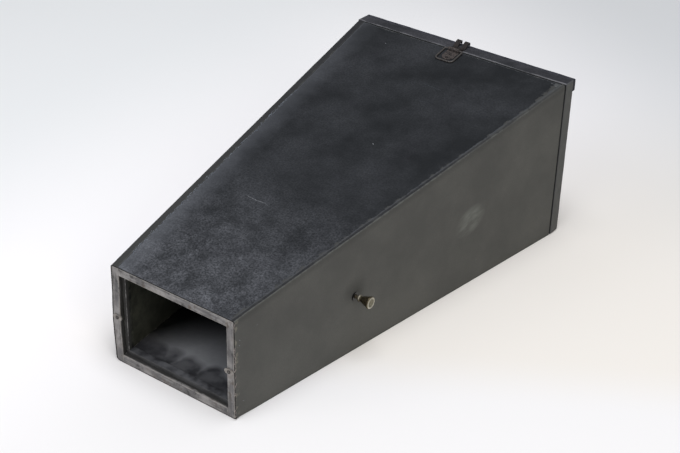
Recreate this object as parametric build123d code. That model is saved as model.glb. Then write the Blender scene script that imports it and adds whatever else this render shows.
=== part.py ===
from build123d import *
import os
from math import atan, cos, degrees, pi, radians, sin

# Fixed-focus enlarging copy box: a tapered wooden box covered in black leathercloth.
# A 6 x 9 cm negative sits in the rebate at the small open end and is held by two turn buttons.
# A lens on a bulkhead throws its image on 12 x 18 cm paper that the hinged back cover presses flat.
# A pull knob on the right side draws a shutter plate clear of the lens.
# Frame: millimetres, +Z up, +Y from the small end to the back cover, +X to the knob's side.
# The origin is on the underside, midway between the two ends of the body.

# Body: outside sizes over the covering
body_length = 340.0
front_width = 109.0
front_height = 79.0
rear_width = 196.0
rear_height = 134.0
board = 6.0
covering = 0.5
fold_left = 6.0
fold_right = 2.5

# Brads that join the side boards to the top and bottom boards
brad_radius = 0.7
brad_head_radius = 1.4
brad_head = 0.6
brad_length = 20.0
brad_sink = 0.35
brads_per_joint = 4
brad_end_margin = 30.0
hole_ease = 0.03

# Rebate for the negative, and its ledge
rebate_depth = 3.6
plate_ledge_width = 3.0
plate_ledge_depth = 6.0

# Turn buttons that keep the negative in
button_length = 8.0
button_width = 4.0
button_place = 0.6
button_thickness = 0.8
button_gap = 0.15
button_drop = 1.5
button_pin_radius = 0.6
button_pin_length = 9.0
button_head_radius = 1.3
button_head = 0.8
pivot_ease = 0.05

# Bulkhead, its cleats and the lens
lens_board_front = 118.0
lens_board = 5.0
lens_hole_radius = 9.0
cleat_width = 8.0
cleat_depth = 8.0
flange_radius = 18.0
flange_thickness = 2.0
barrel_radius = 12.0
barrel_wall = 1.5
barrel_length = 18.0
barrel_shoulder = 2.0
barrel_ease = 0.05
flange_screws = 3
flange_screw_circle = 15.0
flange_screw_radius = 0.9
flange_screw_head_radius = 1.7
flange_screw_head = 0.9
flange_screw_length = 5.0
stop_thickness = 0.8
stop_hole_radius = 3.6
spacer_length = 2.4
spacer_wall = 1.0
crown_edge = 1.6
crown_radius = 44.0
cement_radius = 34.0
flint_edge = 3.6
flint_radius = 190.0
retaining_ring = 2.2
retaining_ring_width = 1.4

# Shutter: a plate drawn along two grooved guides by a rod and knob
rod_radius = 1.5
rod_drop = 3.0
rod_to_plate = 3.4
plate_thickness = 1.0
plate_width = 26.0
plate_height = 28.0
plate_to_board = 0.8
shutter_travel = 22.0
guide_height = 6.0
guide_bite = 1.6
guide_front = 1.4
groove_ease = 0.2
guide_brad_radius = 0.6
guide_brad_length = 5.0
tab_height = 9.0
tab_thickness = 1.2
nut_radius = 2.7
nut_thickness = 1.8
collar_radius = 3.2
collar_length = 3.0
stop_block = 5.0
stop_block_gap = 0.3
bush_radius = 2.5
bush_flange_radius = 3.3
bush_flange = 0.6
felt_radius = 5.0
felt_thickness = 1.5
felt_ease = 0.2

# Knob, as distances out from the side of the box
knob_reach = 14.0
bead_start = 3.2
bead_length = 1.9
bead_radius = 2.6
neck_length = 1.2
neck_radius = 1.9
knob_root_radius = 2.3
knob_radius = 4.7
knob_rim = 1.1
dish_radius = 3.3
dish_depth = 0.4
knob_bore_end = 2.6

# Mouth for the paper
paper_setback = 6.0
paper_ledge_width = 3.0
paper_ledge_depth = 5.0

# Back cover
cover_gap = 0.8
cover_board_thickness = 11.0
cover_overhang = 0.8
cover_floor_gap = 0.4
rail_height = 10.0
rail_thickness = 3.3
rail_brads = 5
rail_brad_radius = 0.7
rail_brad_head_radius = 1.3
rail_brad_head = 0.5
rail_brad_length = 9.0
pad_board = 3.4
pad_felt = 2.0
pad_clearance = 0.9

# Strap hinges: under the box and up the cover's back, with the pin behind the cover's lower edge
hinge_inset = 36.0
hinge_width = 20.0
strap_on_body = 13.0
hinge_leaf_height = 13.0
leaf_thickness = 0.8
leaf_floor_gap = 0.2
leaf_clearance = 0.25
knuckle_radius = 1.4
knuckle_gap = 0.2
knuckle_to_cover = 0.4
middle_knuckle = 7.6
hinge_pin_radius = 0.7
hinge_pin_head = 0.4
hinge_screw_radius = 0.8
hinge_screw_head_radius = 1.5
hinge_screw_length = 4.6
hinge_screw_spacing = 12.0

# Latch: a wire bail on the box that drops behind the slotted hump of a strap on the cover
latch_offset = -2.0
bail_wire_radius = 0.7
bail_half_width = 8.0
bail_reach = 16.2
bail_corner = 1.6
bail_nose = 3.0
bail_setback = 1.8
bail_pivot_height = 1.7
bail_rest_clearance = 0.3
eye_radius = 1.5
eye_length = 10.0
bail_plate_width = 10.6
bail_plate_length = 13.6
bail_plate_thickness = 0.6
latch_nail_radius = 0.6
latch_nail_head_radius = 1.2
latch_nail_head = 0.5
latch_nail_length = 4.5
catch_thickness = 0.8
catch_setback = 1.0
catch_flange_length = 3.9
catch_nail_portion = 0.45
prong_width = 4.0
prong_gap = 3.4
prong_rise = 2.9
prong_ramp = 3.8
prong_top_rise = 1.0
prong_top = 3.0
prong_bend = 0.9
prong_leg = 2.8

# Values worked out from the sizes above
front_y = -body_length / 2
seam_y = body_length / 2
skin = covering + board
splay = atan((rear_width - front_width) / 2 / body_length)
rise = atan((rear_height - front_height) / body_length)
reach_past = 30.0
parts = {}


def share(y):
    """How far y lies along the body, from 0 at the small end to 1 at the seam."""
    return (y - front_y) / body_length


def half_width(y, inset=0.0):
    """Half the body's width at y, with the inset taken square to the side boards."""
    outside = (front_width + (rear_width - front_width) * share(y)) / 2
    return outside - inset / cos(splay)


def roof_height(y, inset=0.0):
    """Height of the sloping top at y, with the inset taken square to it."""
    outside = front_height + (rear_height - front_height) * share(y)
    return outside - inset / cos(rise)


def plan_prism(points):
    """A tall prism over an outline in the XY plane."""
    low = Plane.XY.offset(-reach_past)
    outline = make_face(Polyline(*points, close=True))
    return extrude(low * outline, rear_height + 2 * reach_past)


def side_prism(points):
    """A wide prism across the box over an outline of (y, z) points."""
    outline = make_face(Polyline(*points, close=True))
    return extrude(Plane.YZ * outline, rear_width, both=True)


def between_sides(inset, y0, y1):
    """Everything between the two side planes, moved in by the inset."""
    return plan_prism(
        [
            (-half_width(y0, inset), y0),
            (half_width(y0, inset), y0),
            (half_width(y1, inset), y1),
            (-half_width(y1, inset), y1),
        ]
    )


def inside(side_inset, top_inset, low, y0, y1):
    """The solid that fills the box inside the given insets."""
    profile = [(y0, low), (y1, low), (y1, roof_height(y1, top_inset)), (y0, roof_height(y0, top_inset))]
    return between_sides(side_inset, y0, y1) & side_prism(profile)


def wall_layer(side, outer, inner, low, top_inset, y0, y1):
    """A layer of one side wall; side is -1 for the left and 1 for the right."""
    outline = plan_prism(
        [
            (side * half_width(y0, inner), y0),
            (side * half_width(y0, outer), y0),
            (side * half_width(y1, outer), y1),
            (side * half_width(y1, inner), y1),
        ]
    )
    profile = [(y0, low), (y1, low), (y1, roof_height(y1, top_inset)), (y0, roof_height(y0, top_inset))]
    return outline & side_prism(profile)


def roof_layer(outer, inner, side_inset, y0, y1):
    """A layer of the sloping top."""
    profile = [
        (y0, roof_height(y0, inner)),
        (y1, roof_height(y1, inner)),
        (y1, roof_height(y1, outer)),
        (y0, roof_height(y0, outer)),
    ]
    return between_sides(side_inset, y0, y1) & side_prism(profile)


def floor_layer(low, high, side_inset, y0, y1):
    """A layer of the level bottom."""
    profile = [(y0, low), (y1, low), (y1, high), (y0, high)]
    return between_sides(side_inset, y0, y1) & side_prism(profile)


def x_rod(radius, x0, x1, y, z):
    """A round bar along X."""
    return Plane(origin=(x0, y, z), z_dir=(1, 0, 0)) * Cylinder(
        radius, x1 - x0, align=(Align.CENTER, Align.CENTER, Align.MIN)
    )


def y_rod(radius, y0, y1, x, z):
    """A round bar along Y."""
    return Plane(origin=(x, y0, z), z_dir=(0, 1, 0)) * Cylinder(
        radius, y1 - y0, align=(Align.CENTER, Align.CENTER, Align.MIN)
    )


def block(x0, x1, y0, y1, z0, z1):
    """A box between two corners."""
    return Pos((x0 + x1) / 2, (y0 + y1) / 2, (z0 + z1) / 2) * Box(x1 - x0, y1 - y0, z1 - z0)


def grouped(solids):
    """Separate solids kept together as one node."""
    return Compound(children=[s for shape in solids for s in shape.solids()])


def turned(profile, origin, direction):
    """A solid turned about an axis from (distance along, radius) points."""
    face = make_face(Polyline(*profile, close=True))
    solid = revolve(face, Axis.X)
    return Plane(origin=origin, x_dir=direction, z_dir=(0, 0, 1)) * solid


# Side, top and bottom boards

side_boards = {
    side: wall_layer(side, covering, skin, covering, covering, front_y, seam_y) for side in (-1, 1)
}
top_board = roof_layer(covering, skin, skin, front_y, seam_y)
bottom_board = floor_layer(covering, skin, skin, front_y, seam_y)

brad_pitch = (body_length - 2 * brad_end_margin) / (brads_per_joint - 1)
brads = []
for side in (-1, 1):
    for number in range(brads_per_joint):
        y = front_y + brad_end_margin + number * brad_pitch
        outer_x = half_width(y, covering) - brad_sink
        heights = (covering + board / 2, roof_height(y, covering + board / 2))
        for z in heights:
            for_boards = []
            for ease, head_end in ((0.0, outer_x), (hole_ease, half_width(y) + reach_past)):
                head = x_rod(brad_head_radius + ease, outer_x - brad_head, head_end, y, z)
                shank = x_rod(brad_radius + ease, outer_x - brad_length, outer_x, y, z)
                shape = head + shank
                if side < 0:
                    shape = mirror(shape, Plane.YZ)
                for_boards.append(shape)
            brad, hole = for_boards
            brads.append(brad)
            side_boards[side] -= hole
            if z == heights[0]:
                bottom_board -= hole
            else:
                top_board -= hole

# Leathercloth: each side sheet folds over its top edge, and the top sheet lies between the folds

folds = {-1: fold_left, 1: fold_right}


def fold_line(side, y):
    """Where the edge of a side sheet's fold lies on the top at y."""
    return side * (half_width(y) - folds[side])


side_and_top_skin = inside(0, 0, covering, front_y, seam_y) - inside(
    covering, covering, -reach_past, front_y - 1, seam_y + 1
)
side_coverings = {}
for side in (-1, 1):
    past_front = fold_line(side, front_y) + side * reach_past
    past_seam = fold_line(side, seam_y) + side * reach_past
    side_coverings[side] = side_and_top_skin & plan_prism(
        [
            (fold_line(side, front_y), front_y),
            (past_front, front_y),
            (past_seam, seam_y),
            (fold_line(side, seam_y), seam_y),
        ]
    )
top_covering = roof_layer(0, covering, 0, front_y, seam_y) & plan_prism(
    [
        (fold_line(-1, front_y), front_y),
        (fold_line(1, front_y), front_y),
        (fold_line(1, seam_y), seam_y),
        (fold_line(-1, seam_y), seam_y),
    ]
)
bottom_covering = floor_layer(0, covering, 0, front_y, seam_y)

# Ledge behind the negative's rebate

ledge_front = front_y + rebate_depth
ledge_back = ledge_front + plate_ledge_depth
ledge_inset = skin + plate_ledge_width
parts["plate_ledge_top"] = roof_layer(skin, ledge_inset, skin, ledge_front, ledge_back)
parts["plate_ledge_bottom"] = floor_layer(skin, ledge_inset, skin, ledge_front, ledge_back)
for side, name in ((-1, "plate_ledge_left"), (1, "plate_ledge_right")):
    parts[name] = wall_layer(side, skin, ledge_inset, ledge_inset, ledge_inset, ledge_front, ledge_back)

# Turn buttons on the front edges of the side boards

button_x = half_width(front_y, covering + board * button_place)
button_z = front_height / 2 - button_drop
button_back = front_y - button_gap
button_face = button_back - button_thickness
pins = []
for side, name in ((-1, "left_plate_button"), (1, "right_plate_button")):
    x = side * button_x
    button_plane = Plane(origin=(x, button_back, button_z), x_dir=(1, 0, 0), z_dir=(0, -1, 0))
    button_outline = SlotOverall(button_length, button_width) - Circle(button_pin_radius + pivot_ease)
    parts[name] = extrude(button_plane * button_outline, button_thickness)
    head_back = button_face - button_gap
    shank = y_rod(button_pin_radius, head_back, head_back + button_pin_length, x, button_z)
    head = y_rod(button_head_radius, head_back - button_head, head_back, x, button_z)
    head = fillet(head.edges().filter_by(GeomType.CIRCLE).sort_by(Axis.Y)[0], button_head * 0.7)
    pins.append(head + shank)
    pin_end = head_back + button_pin_length + hole_ease
    side_boards[side] -= y_rod(button_pin_radius + hole_ease, front_y - 1, pin_end, x, button_z)
parts["plate_button_pins"] = grouped(pins)

# Bulkhead with the lens

lens_front_y = front_y + lens_board_front
lens_back_y = lens_front_y + lens_board
lens_z = roof_height((lens_front_y + lens_back_y) / 2) / 2
bulkhead = inside(skin, skin, skin, lens_front_y, lens_back_y)
bulkhead -= y_rod(lens_hole_radius, lens_front_y - 1, lens_back_y + 1, 0, lens_z)
for side, name in ((-1, "lens_cleat_left"), (1, "lens_cleat_right")):
    parts[name] = wall_layer(
        side, skin, skin + cleat_width, skin, skin, lens_back_y, lens_back_y + cleat_depth
    )

flange = y_rod(flange_radius, lens_back_y, lens_back_y + flange_thickness, 0, lens_z)
flange = chamfer(flange.edges().filter_by(GeomType.CIRCLE).sort_by(Axis.Y)[-1], flange_thickness * 0.3)
flange -= y_rod(barrel_radius + barrel_ease, lens_back_y - 1, lens_back_y + flange_thickness + 1, 0, lens_z)
screws = []
for number in range(flange_screws):
    angle = radians(90 + 360 / flange_screws * number)
    x = flange_screw_circle * cos(angle)
    z = lens_z + flange_screw_circle * sin(angle)
    face_y = lens_back_y + flange_thickness
    shank = y_rod(flange_screw_radius, face_y - flange_screw_length, face_y, x, z)
    head = y_rod(flange_screw_head_radius, face_y, face_y + flange_screw_head, x, z)
    head = fillet(head.edges().filter_by(GeomType.CIRCLE).sort_by(Axis.Y)[-1], flange_screw_head * 0.6)
    screws.append(head + shank)
    hole = y_rod(
        flange_screw_radius + hole_ease, face_y - flange_screw_length - hole_ease, face_y + 1, x, z
    )
    flange -= hole
    bulkhead -= hole
parts["lens_flange"] = flange
parts["lens_flange_screws"] = grouped(screws)
parts["lens_board"] = bulkhead

bore = barrel_radius - barrel_wall
cell_radius = bore - barrel_ease
barrel_profile = [
    (0, lens_hole_radius),
    (0, barrel_radius),
    (barrel_length, barrel_radius),
    (barrel_length, bore),
    (barrel_shoulder, bore),
    (barrel_shoulder, lens_hole_radius),
]
lens_origin = (0, lens_back_y, lens_z)
along = (0, 1, 0)
parts["lens_barrel"] = turned(barrel_profile, lens_origin, along)


def cell_ring(start, length, inner_radius):
    """A ring that fits the barrel's bore, start measured from the bulkhead's back face."""
    profile = [
        (start, inner_radius),
        (start, cell_radius),
        (start + length, cell_radius),
        (start + length, inner_radius),
    ]
    return turned(profile, lens_origin, along)


def sag(radius, height):
    """Depth of a spherical surface at that height above the axis."""
    return radius - (radius**2 - height**2) ** 0.5


stop_start = barrel_shoulder
spacer_start = stop_start + stop_thickness
crown_start = spacer_start + spacer_length
flint_start = crown_start + crown_edge
lens_end = flint_start + flint_edge
parts["lens_stop"] = cell_ring(stop_start, stop_thickness, stop_hole_radius)


def seat(radius, inner):
    """How far a convex surface stands past its rim where a ring of that inner radius meets it."""
    return sag(radius, cell_radius) - sag(radius, inner)


spacer_inner = cell_radius - spacer_wall
spacer_to_glass = spacer_length - seat(crown_radius, spacer_inner)
parts["lens_spacer"] = cell_ring(spacer_start, spacer_to_glass, spacer_inner)


def lens_surface(edge_at, radius):
    """A (distance along, height) arc from the axis to the rim; a positive radius bulges to the front."""
    depth = sag(abs(radius), cell_radius) * (1 if radius > 0 else -1)
    half = cell_radius / 2
    middle = sag(abs(radius), half) * (1 if radius > 0 else -1)
    pole = (edge_at - depth, 0)
    return pole, ThreePointArc(pole, (edge_at - depth + middle, half), (edge_at, cell_radius))


def lens_element(front_edge, front_radius, back_edge, back_radius):
    """One glass element turned between two spherical surfaces."""
    front_pole, front_arc = lens_surface(front_edge, front_radius)
    back_pole, back_arc = lens_surface(back_edge, back_radius)
    rim = Line((front_edge, cell_radius), (back_edge, cell_radius))
    axis_line = Line(back_pole, front_pole)
    face = make_face([front_arc, rim, back_arc, axis_line])
    return Plane(origin=lens_origin, x_dir=along, z_dir=(0, 0, 1)) * revolve(face, Axis.X)


parts["lens_crown_glass"] = lens_element(crown_start, crown_radius, flint_start, -cement_radius)
parts["lens_flint_glass"] = lens_element(flint_start, -cement_radius, lens_end, -flint_radius)
ring_inner = cell_radius - retaining_ring_width
ring_start = lens_end + seat(flint_radius, ring_inner)
parts["lens_retaining_ring"] = cell_ring(ring_start, retaining_ring, ring_inner)

# Shutter plate, guides and rod

plate_back = lens_front_y - plate_to_board
plate_front = plate_back - plate_thickness
rod_y = plate_front - rod_to_plate
rod_z = lens_z - rod_drop
tab_x = plate_width / 2
plate = block(-tab_x, tab_x, plate_front, plate_back, lens_z - plate_height / 2, lens_z + plate_height / 2)
tab_front = rod_y - tab_height / 2
tab_low = rod_z - tab_height / 2
tab = block(tab_x - tab_thickness, tab_x, tab_front, plate_back, tab_low, tab_low + tab_height)
tab -= x_rod(rod_radius + hole_ease, tab_x - 2 * tab_thickness, tab_x + 1, rod_y, rod_z)
parts["shutter_plate"] = plate + tab

guide_left = -tab_x - stop_block_gap - stop_block
guide_right = tab_x + shutter_travel + stop_block_gap
groove_front = plate_front - groove_ease
guide_front_y = groove_front - guide_front
guide_brads = []
for sign, name in ((1, "shutter_guide_upper"), (-1, "shutter_guide_lower")):
    near = lens_z + sign * (plate_height / 2 - guide_bite)
    far = near + sign * guide_height
    rail = block(guide_left, guide_right, guide_front_y, lens_front_y, min(near, far), max(near, far))
    groove_end = near + sign * (guide_bite + groove_ease)
    groove_low = min(near, groove_end)
    groove_high = max(near, groove_end)
    groove_back = plate_back + groove_ease
    rail -= block(guide_left - 1, guide_right + 1, groove_front, groove_back, groove_low, groove_high)
    brad_z = (groove_end + far) / 2
    for x in (guide_left + stop_block, guide_right - stop_block):
        brad_end = guide_front_y + guide_brad_length
        brad = y_rod(guide_brad_radius, guide_front_y, brad_end, x, brad_z)
        hole = y_rod(guide_brad_radius + hole_ease, guide_front_y - 1, brad_end + hole_ease, x, brad_z)
        guide_brads.append(brad)
        rail -= hole
        parts["lens_board"] -= hole
    parts[name] = rail
parts["shutter_guide_brads"] = grouped(guide_brads)
gate_half = plate_height / 2 - guide_bite
parts["shutter_stop_block"] = block(
    guide_left, guide_left + stop_block, guide_front_y, lens_front_y, lens_z - gate_half, lens_z + gate_half
)

wall_x = half_width(rod_y)
inner_wall_x = half_width(rod_y, skin)
rod_end = wall_x + knob_reach - knob_bore_end
rod_start = tab_x - tab_thickness - nut_thickness - 1.0
parts["shutter_rod"] = x_rod(rod_radius, rod_start, rod_end, rod_y, rod_z)


def hex_nut(x):
    """A hexagon nut on the rod whose left face is at x."""
    flat = Plane(origin=(x, rod_y, rod_z), z_dir=(1, 0, 0)) * RegularPolygon(nut_radius, 6)
    bore = x_rod(rod_radius + hole_ease, x - 1, x + nut_thickness + 1, rod_y, rod_z)
    return extrude(flat, nut_thickness) - bore


parts["shutter_rod_nuts"] = grouped([hex_nut(tab_x - tab_thickness - nut_thickness), hex_nut(tab_x)])

bore_radius = rod_radius + pivot_ease
flange_disc = x_rod(bush_flange_radius, wall_x - 2 * bush_flange, wall_x + bush_flange, rod_y, rod_z)
flange_disc -= inside(0, 0, 0, front_y, seam_y)
bush_tube = x_rod(bush_radius, inner_wall_x - reach_past, wall_x, rod_y, rod_z) & wall_layer(
    1, 0, skin, covering, covering, front_y, seam_y
)
rod_way = x_rod(bore_radius, inner_wall_x - reach_past, wall_x + reach_past, rod_y, rod_z)
parts["rod_bush"] = (flange_disc + bush_tube) - rod_way
bush_hole = x_rod(bush_radius + hole_ease, inner_wall_x - reach_past, wall_x + reach_past, rod_y, rod_z)
side_boards[1] -= bush_hole
side_coverings[1] -= bush_hole

washer = x_rod(felt_radius, inner_wall_x - reach_past, wall_x, rod_y, rod_z) & wall_layer(
    1, skin, skin + felt_thickness, covering, covering, front_y, seam_y
)
parts["rod_felt_washer"] = washer - x_rod(
    rod_radius + felt_ease, inner_wall_x - reach_past, wall_x, rod_y, rod_z
)
washer_face = half_width(rod_y - felt_radius, skin + felt_thickness)
collar_end = washer_face - shutter_travel - stop_block_gap
parts["rod_stop_collar"] = x_rod(collar_radius, collar_end - collar_length, collar_end, rod_y, rod_z) - x_rod(
    rod_radius + hole_ease, collar_end - collar_length - 1, collar_end + 1, rod_y, rod_z
)

neck_start = bead_start + bead_length
cone_start = neck_start + neck_length
with BuildSketch() as knob_profile:
    with BuildLine():
        Polyline((bead_start, 0), (bead_start, neck_radius))
        ThreePointArc(
            (bead_start, neck_radius), (bead_start + bead_length / 2, bead_radius), (neck_start, neck_radius)
        )
        Polyline(
            (neck_start, neck_radius),
            (cone_start, neck_radius),
            (cone_start, knob_root_radius),
            (knob_reach - knob_rim, knob_radius),
        )
        ThreePointArc(
            (knob_reach - knob_rim, knob_radius),
            (knob_reach - knob_rim * 0.3, knob_radius - knob_rim * 0.3),
            (knob_reach, knob_radius - knob_rim),
        )
        Polyline(
            (knob_reach, knob_radius - knob_rim),
            (knob_reach, dish_radius),
            (knob_reach - dish_depth, dish_radius - dish_depth),
            (knob_reach - dish_depth, 0),
            (bead_start, 0),
        )
    make_face()
knob = Pos(wall_x, rod_y, rod_z) * revolve(knob_profile.sketch, Axis.X)
parts["shutter_knob"] = knob - x_rod(rod_radius + hole_ease, wall_x, rod_end + hole_ease, rod_y, rod_z)

# Ledge that the paper is pressed against

paper_y = seam_y - paper_setback
paper_inset = skin + paper_ledge_width
paper_front = paper_y - paper_ledge_depth
parts["paper_ledge_top"] = roof_layer(skin, paper_inset, skin, paper_front, paper_y)
parts["paper_ledge_bottom"] = floor_layer(skin, paper_inset, skin, paper_front, paper_y)
for side, name in ((-1, "paper_ledge_left"), (1, "paper_ledge_right")):
    parts[name] = wall_layer(side, skin, paper_inset, paper_inset, paper_inset, paper_front, paper_y)

# Back cover: board in a covering, finger rail and pressure pad

cover_front = seam_y + cover_gap
cover_board_back = cover_front + cover_board_thickness
cover_back = cover_board_back + covering
cover_half = rear_width / 2 + cover_overhang
cover_low = cover_floor_gap
cover_top = rear_height
cover_block = block(-cover_half, cover_half, cover_front, cover_back, cover_low, cover_top)
cover_core = block(
    -cover_half + covering,
    cover_half - covering,
    cover_front,
    cover_board_back,
    cover_low + covering,
    cover_top - covering,
)
cover_board = cover_block & cover_core
cover_covering = cover_block - cover_core

rail_back = cover_back + rail_thickness
rail = block(-cover_half, cover_half, cover_back, rail_back, cover_top - rail_height, cover_top)
rail = chamfer(rail.edges().filter_by(Axis.X).sort_by(Axis.Y)[-2:], rail_thickness * 0.2)
nails = []
rail_pitch = 2 * (cover_half - rail_height) / (rail_brads - 1)
for number in range(rail_brads):
    x = -cover_half + rail_height + number * rail_pitch
    z = cover_top - rail_height / 2
    shank = y_rod(rail_brad_radius, rail_back - rail_brad_length, rail_back, x, z)
    head = y_rod(rail_brad_head_radius, rail_back, rail_back + rail_brad_head, x, z)
    head = fillet(head.edges().filter_by(GeomType.CIRCLE).sort_by(Axis.Y)[-1], rail_brad_head * 0.8)
    nails.append(head + shank)
    hole = y_rod(rail_brad_radius + hole_ease, rail_back - rail_brad_length - hole_ease, rail_back + 1, x, z)
    rail -= hole
    cover_covering -= hole
    cover_board -= hole
parts["finger_rail"] = rail
parts["finger_rail_brads"] = grouped(nails)

pad_front = cover_front - pad_board - pad_felt
pad_half = half_width(pad_front, skin) - pad_clearance
pad_low = skin + pad_clearance
pad_top = roof_height(pad_front, skin) - pad_clearance
felt_back = cover_front - pad_board
parts["pressure_pad_board"] = block(-pad_half, pad_half, felt_back, cover_front, pad_low, pad_top)
parts["pressure_pad_felt"] = block(-pad_half, pad_half, pad_front, felt_back, pad_low, pad_top)

# Strap hinges: the strap has the outer knuckles and the cover's leaf has the middle one

leaf_top = leaf_floor_gap + leaf_thickness
pin_z = leaf_floor_gap + knuckle_radius
pin_y = cover_back + knuckle_to_cover + knuckle_radius
outer_knuckle = (hinge_width - middle_knuckle) / 2 - knuckle_gap
strap_start = seam_y - strap_on_body
strap_end = pin_y - knuckle_radius - knuckle_gap
cover_leaf_low = pin_z + knuckle_radius + knuckle_gap
cover_leaf_back = cover_back + leaf_thickness
hinge_pins = []
body_screws = []
cover_screws = []


def hinge_screw(origin, inward, across, grow):
    """A countersunk screw with its flat head in the leaf's outer face."""
    sink = hinge_screw_head_radius - hinge_screw_radius
    radius = hinge_screw_radius + grow
    profile = [
        (0, 0),
        (0, hinge_screw_head_radius + grow),
        (sink, radius),
        (hinge_screw_length + grow, radius),
        (hinge_screw_length + grow, 0),
    ]
    face = make_face(Polyline(*profile, close=True))
    return Plane(origin=origin, x_dir=inward, z_dir=across) * revolve(face, Axis.X)


for side, word in ((-1, "left"), (1, "right")):
    centre = side * (rear_width / 2 - hinge_inset)
    x0 = centre - hinge_width / 2
    x1 = centre + hinge_width / 2
    middle = middle_knuckle / 2
    strap = block(x0, x1, strap_start, strap_end, leaf_floor_gap, leaf_top)
    for start, end in ((x0, x0 + outer_knuckle), (x1 - outer_knuckle, x1)):
        strap += block(start, end, strap_end, pin_y, leaf_floor_gap, leaf_top)
        strap += x_rod(knuckle_radius, start, end, pin_y, pin_z)
    leaf = block(x0, x1, cover_back, cover_leaf_back, cover_leaf_low, cover_leaf_low + hinge_leaf_height)
    leaf += block(centre - middle, centre + middle, cover_back, cover_leaf_back, pin_z, cover_leaf_low)
    leaf += x_rod(knuckle_radius, centre - middle, centre + middle, pin_y, pin_z)
    pin_hole = x_rod(hinge_pin_radius + pivot_ease, x0 - 1, x1 + 1, pin_y, pin_z)
    strap -= pin_hole
    leaf -= pin_hole
    hinge_pins.append(x_rod(hinge_pin_radius, x0 - hinge_pin_head, x1 + hinge_pin_head, pin_y, pin_z))
    strap_space = block(x0 - hole_ease, x1 + hole_ease, strap_start - hole_ease, seam_y + 1, -1, leaf_top)
    bottom_board -= strap_space
    bottom_covering -= strap_space
    under_cover = block(
        x0 - leaf_clearance, x1 + leaf_clearance, seam_y, pin_y, -1, leaf_top + leaf_clearance
    )
    cover_board -= under_cover
    cover_covering -= under_cover
    for dx in (-hinge_screw_spacing / 2, hinge_screw_spacing / 2):
        low_place = (centre + dx, strap_start + strap_on_body / 2, leaf_floor_gap)
        body_screws.append(hinge_screw(low_place, (0, 0, 1), (1, 0, 0), 0))
        hole = hinge_screw(low_place, (0, 0, 1), (1, 0, 0), hole_ease)
        strap -= hole
        bottom_board -= hole
        back_place = (centre + dx, cover_leaf_back, cover_leaf_low + hinge_leaf_height / 2)
        cover_screws.append(hinge_screw(back_place, (0, -1, 0), (1, 0, 0), 0))
        hole = hinge_screw(back_place, (0, -1, 0), (1, 0, 0), hole_ease)
        leaf -= hole
        cover_covering -= hole
        cover_board -= hole
    parts[f"{word}_hinge_strap"] = strap
    parts[f"{word}_hinge_cover_leaf"] = leaf
parts["hinge_pins"] = grouped(hinge_pins)
parts["hinge_strap_screws"] = grouped(body_screws)
parts["hinge_leaf_screws"] = grouped(cover_screws)

# Bail and its plate, drawn on the sloping top with the seam as the zero line

roof_plane = Plane(
    origin=(latch_offset, seam_y, rear_height), x_dir=(1, 0, 0), z_dir=(0, -sin(rise), cos(rise))
)
eye_plane = Plane(origin=(-eye_length / 2, -bail_setback, bail_pivot_height), z_dir=(1, 0, 0))
from_start = (Align.CENTER, Align.CENTER, Align.MIN)
eye = eye_plane * Cylinder(eye_radius, eye_length, align=from_start)
eye_bore = eye_plane * Cylinder(bail_wire_radius + 2 * pivot_ease, eye_length, align=from_start)
plate_end = -bail_setback - bail_plate_length
nose = bail_plate_width / 2
plate_outline = Pos(0, (plate_end + nose - bail_setback) / 2) * Rectangle(
    bail_plate_width, bail_plate_length - nose
) + Pos(0, plate_end + nose) * Circle(nose)
bail_plate = extrude(plate_outline, bail_plate_thickness)
eye_foot = Pos(0, -bail_setback, bail_pivot_height / 2) * Box(
    eye_length, eye_radius, bail_pivot_height, align=(Align.CENTER, Align.MAX, Align.CENTER)
)
bail_plate = bail_plate + eye + eye_foot - eye_bore
plate_nails = []
nail_places = [-bail_setback - bail_plate_length * portion for portion in (0.45, 0.81)]
nail_cuts = []
for v in nail_places:
    place = Pos(0, v, bail_plate_thickness)
    head = place * Cylinder(latch_nail_head_radius, latch_nail_head, align=from_start)
    head = fillet(head.edges().filter_by(GeomType.CIRCLE).sort_by(Axis.Z)[-1], latch_nail_head * 0.8)
    down = (Align.CENTER, Align.CENTER, Align.MAX)
    shank = place * Cylinder(latch_nail_radius, latch_nail_length, align=down)
    plate_nails.append(roof_plane * (head + shank))
    cut = place * Cylinder(latch_nail_radius + hole_ease, latch_nail_length + hole_ease, align=down)
    bail_plate -= cut
    nail_cuts.append(roof_plane * cut)
parts["bail_plate"] = roof_plane * bail_plate
parts["bail_plate_nails"] = grouped(plate_nails)
for cut in nail_cuts:
    top_board -= cut
    top_covering -= cut

bail_tilt = degrees(atan((bail_pivot_height - bail_wire_radius - bail_rest_clearance) / bail_reach))
outline = make_face(
    Polyline(
        (-bail_half_width, 0),
        (bail_half_width, 0),
        (bail_half_width, -bail_reach),
        (-bail_half_width, -bail_reach),
        close=True,
    )
)
outline = fillet(outline.vertices().sort_by(Axis.Y)[-2:], bail_corner)
outline = fillet(outline.vertices().sort_by(Axis.Y)[:2], bail_nose)
bail_path = outline.wire()
bail_section = Plane(origin=bail_path @ 0, z_dir=bail_path % 0) * Circle(bail_wire_radius)
bail = sweep(bail_section, path=bail_path)
parts["latch_bail"] = roof_plane * Pos(0, -bail_setback, bail_pivot_height) * Rot(bail_tilt, 0, 0) * bail

# Catch on the cover's top edge: a nailed strap whose slotted rear end arches up and turns down

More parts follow.
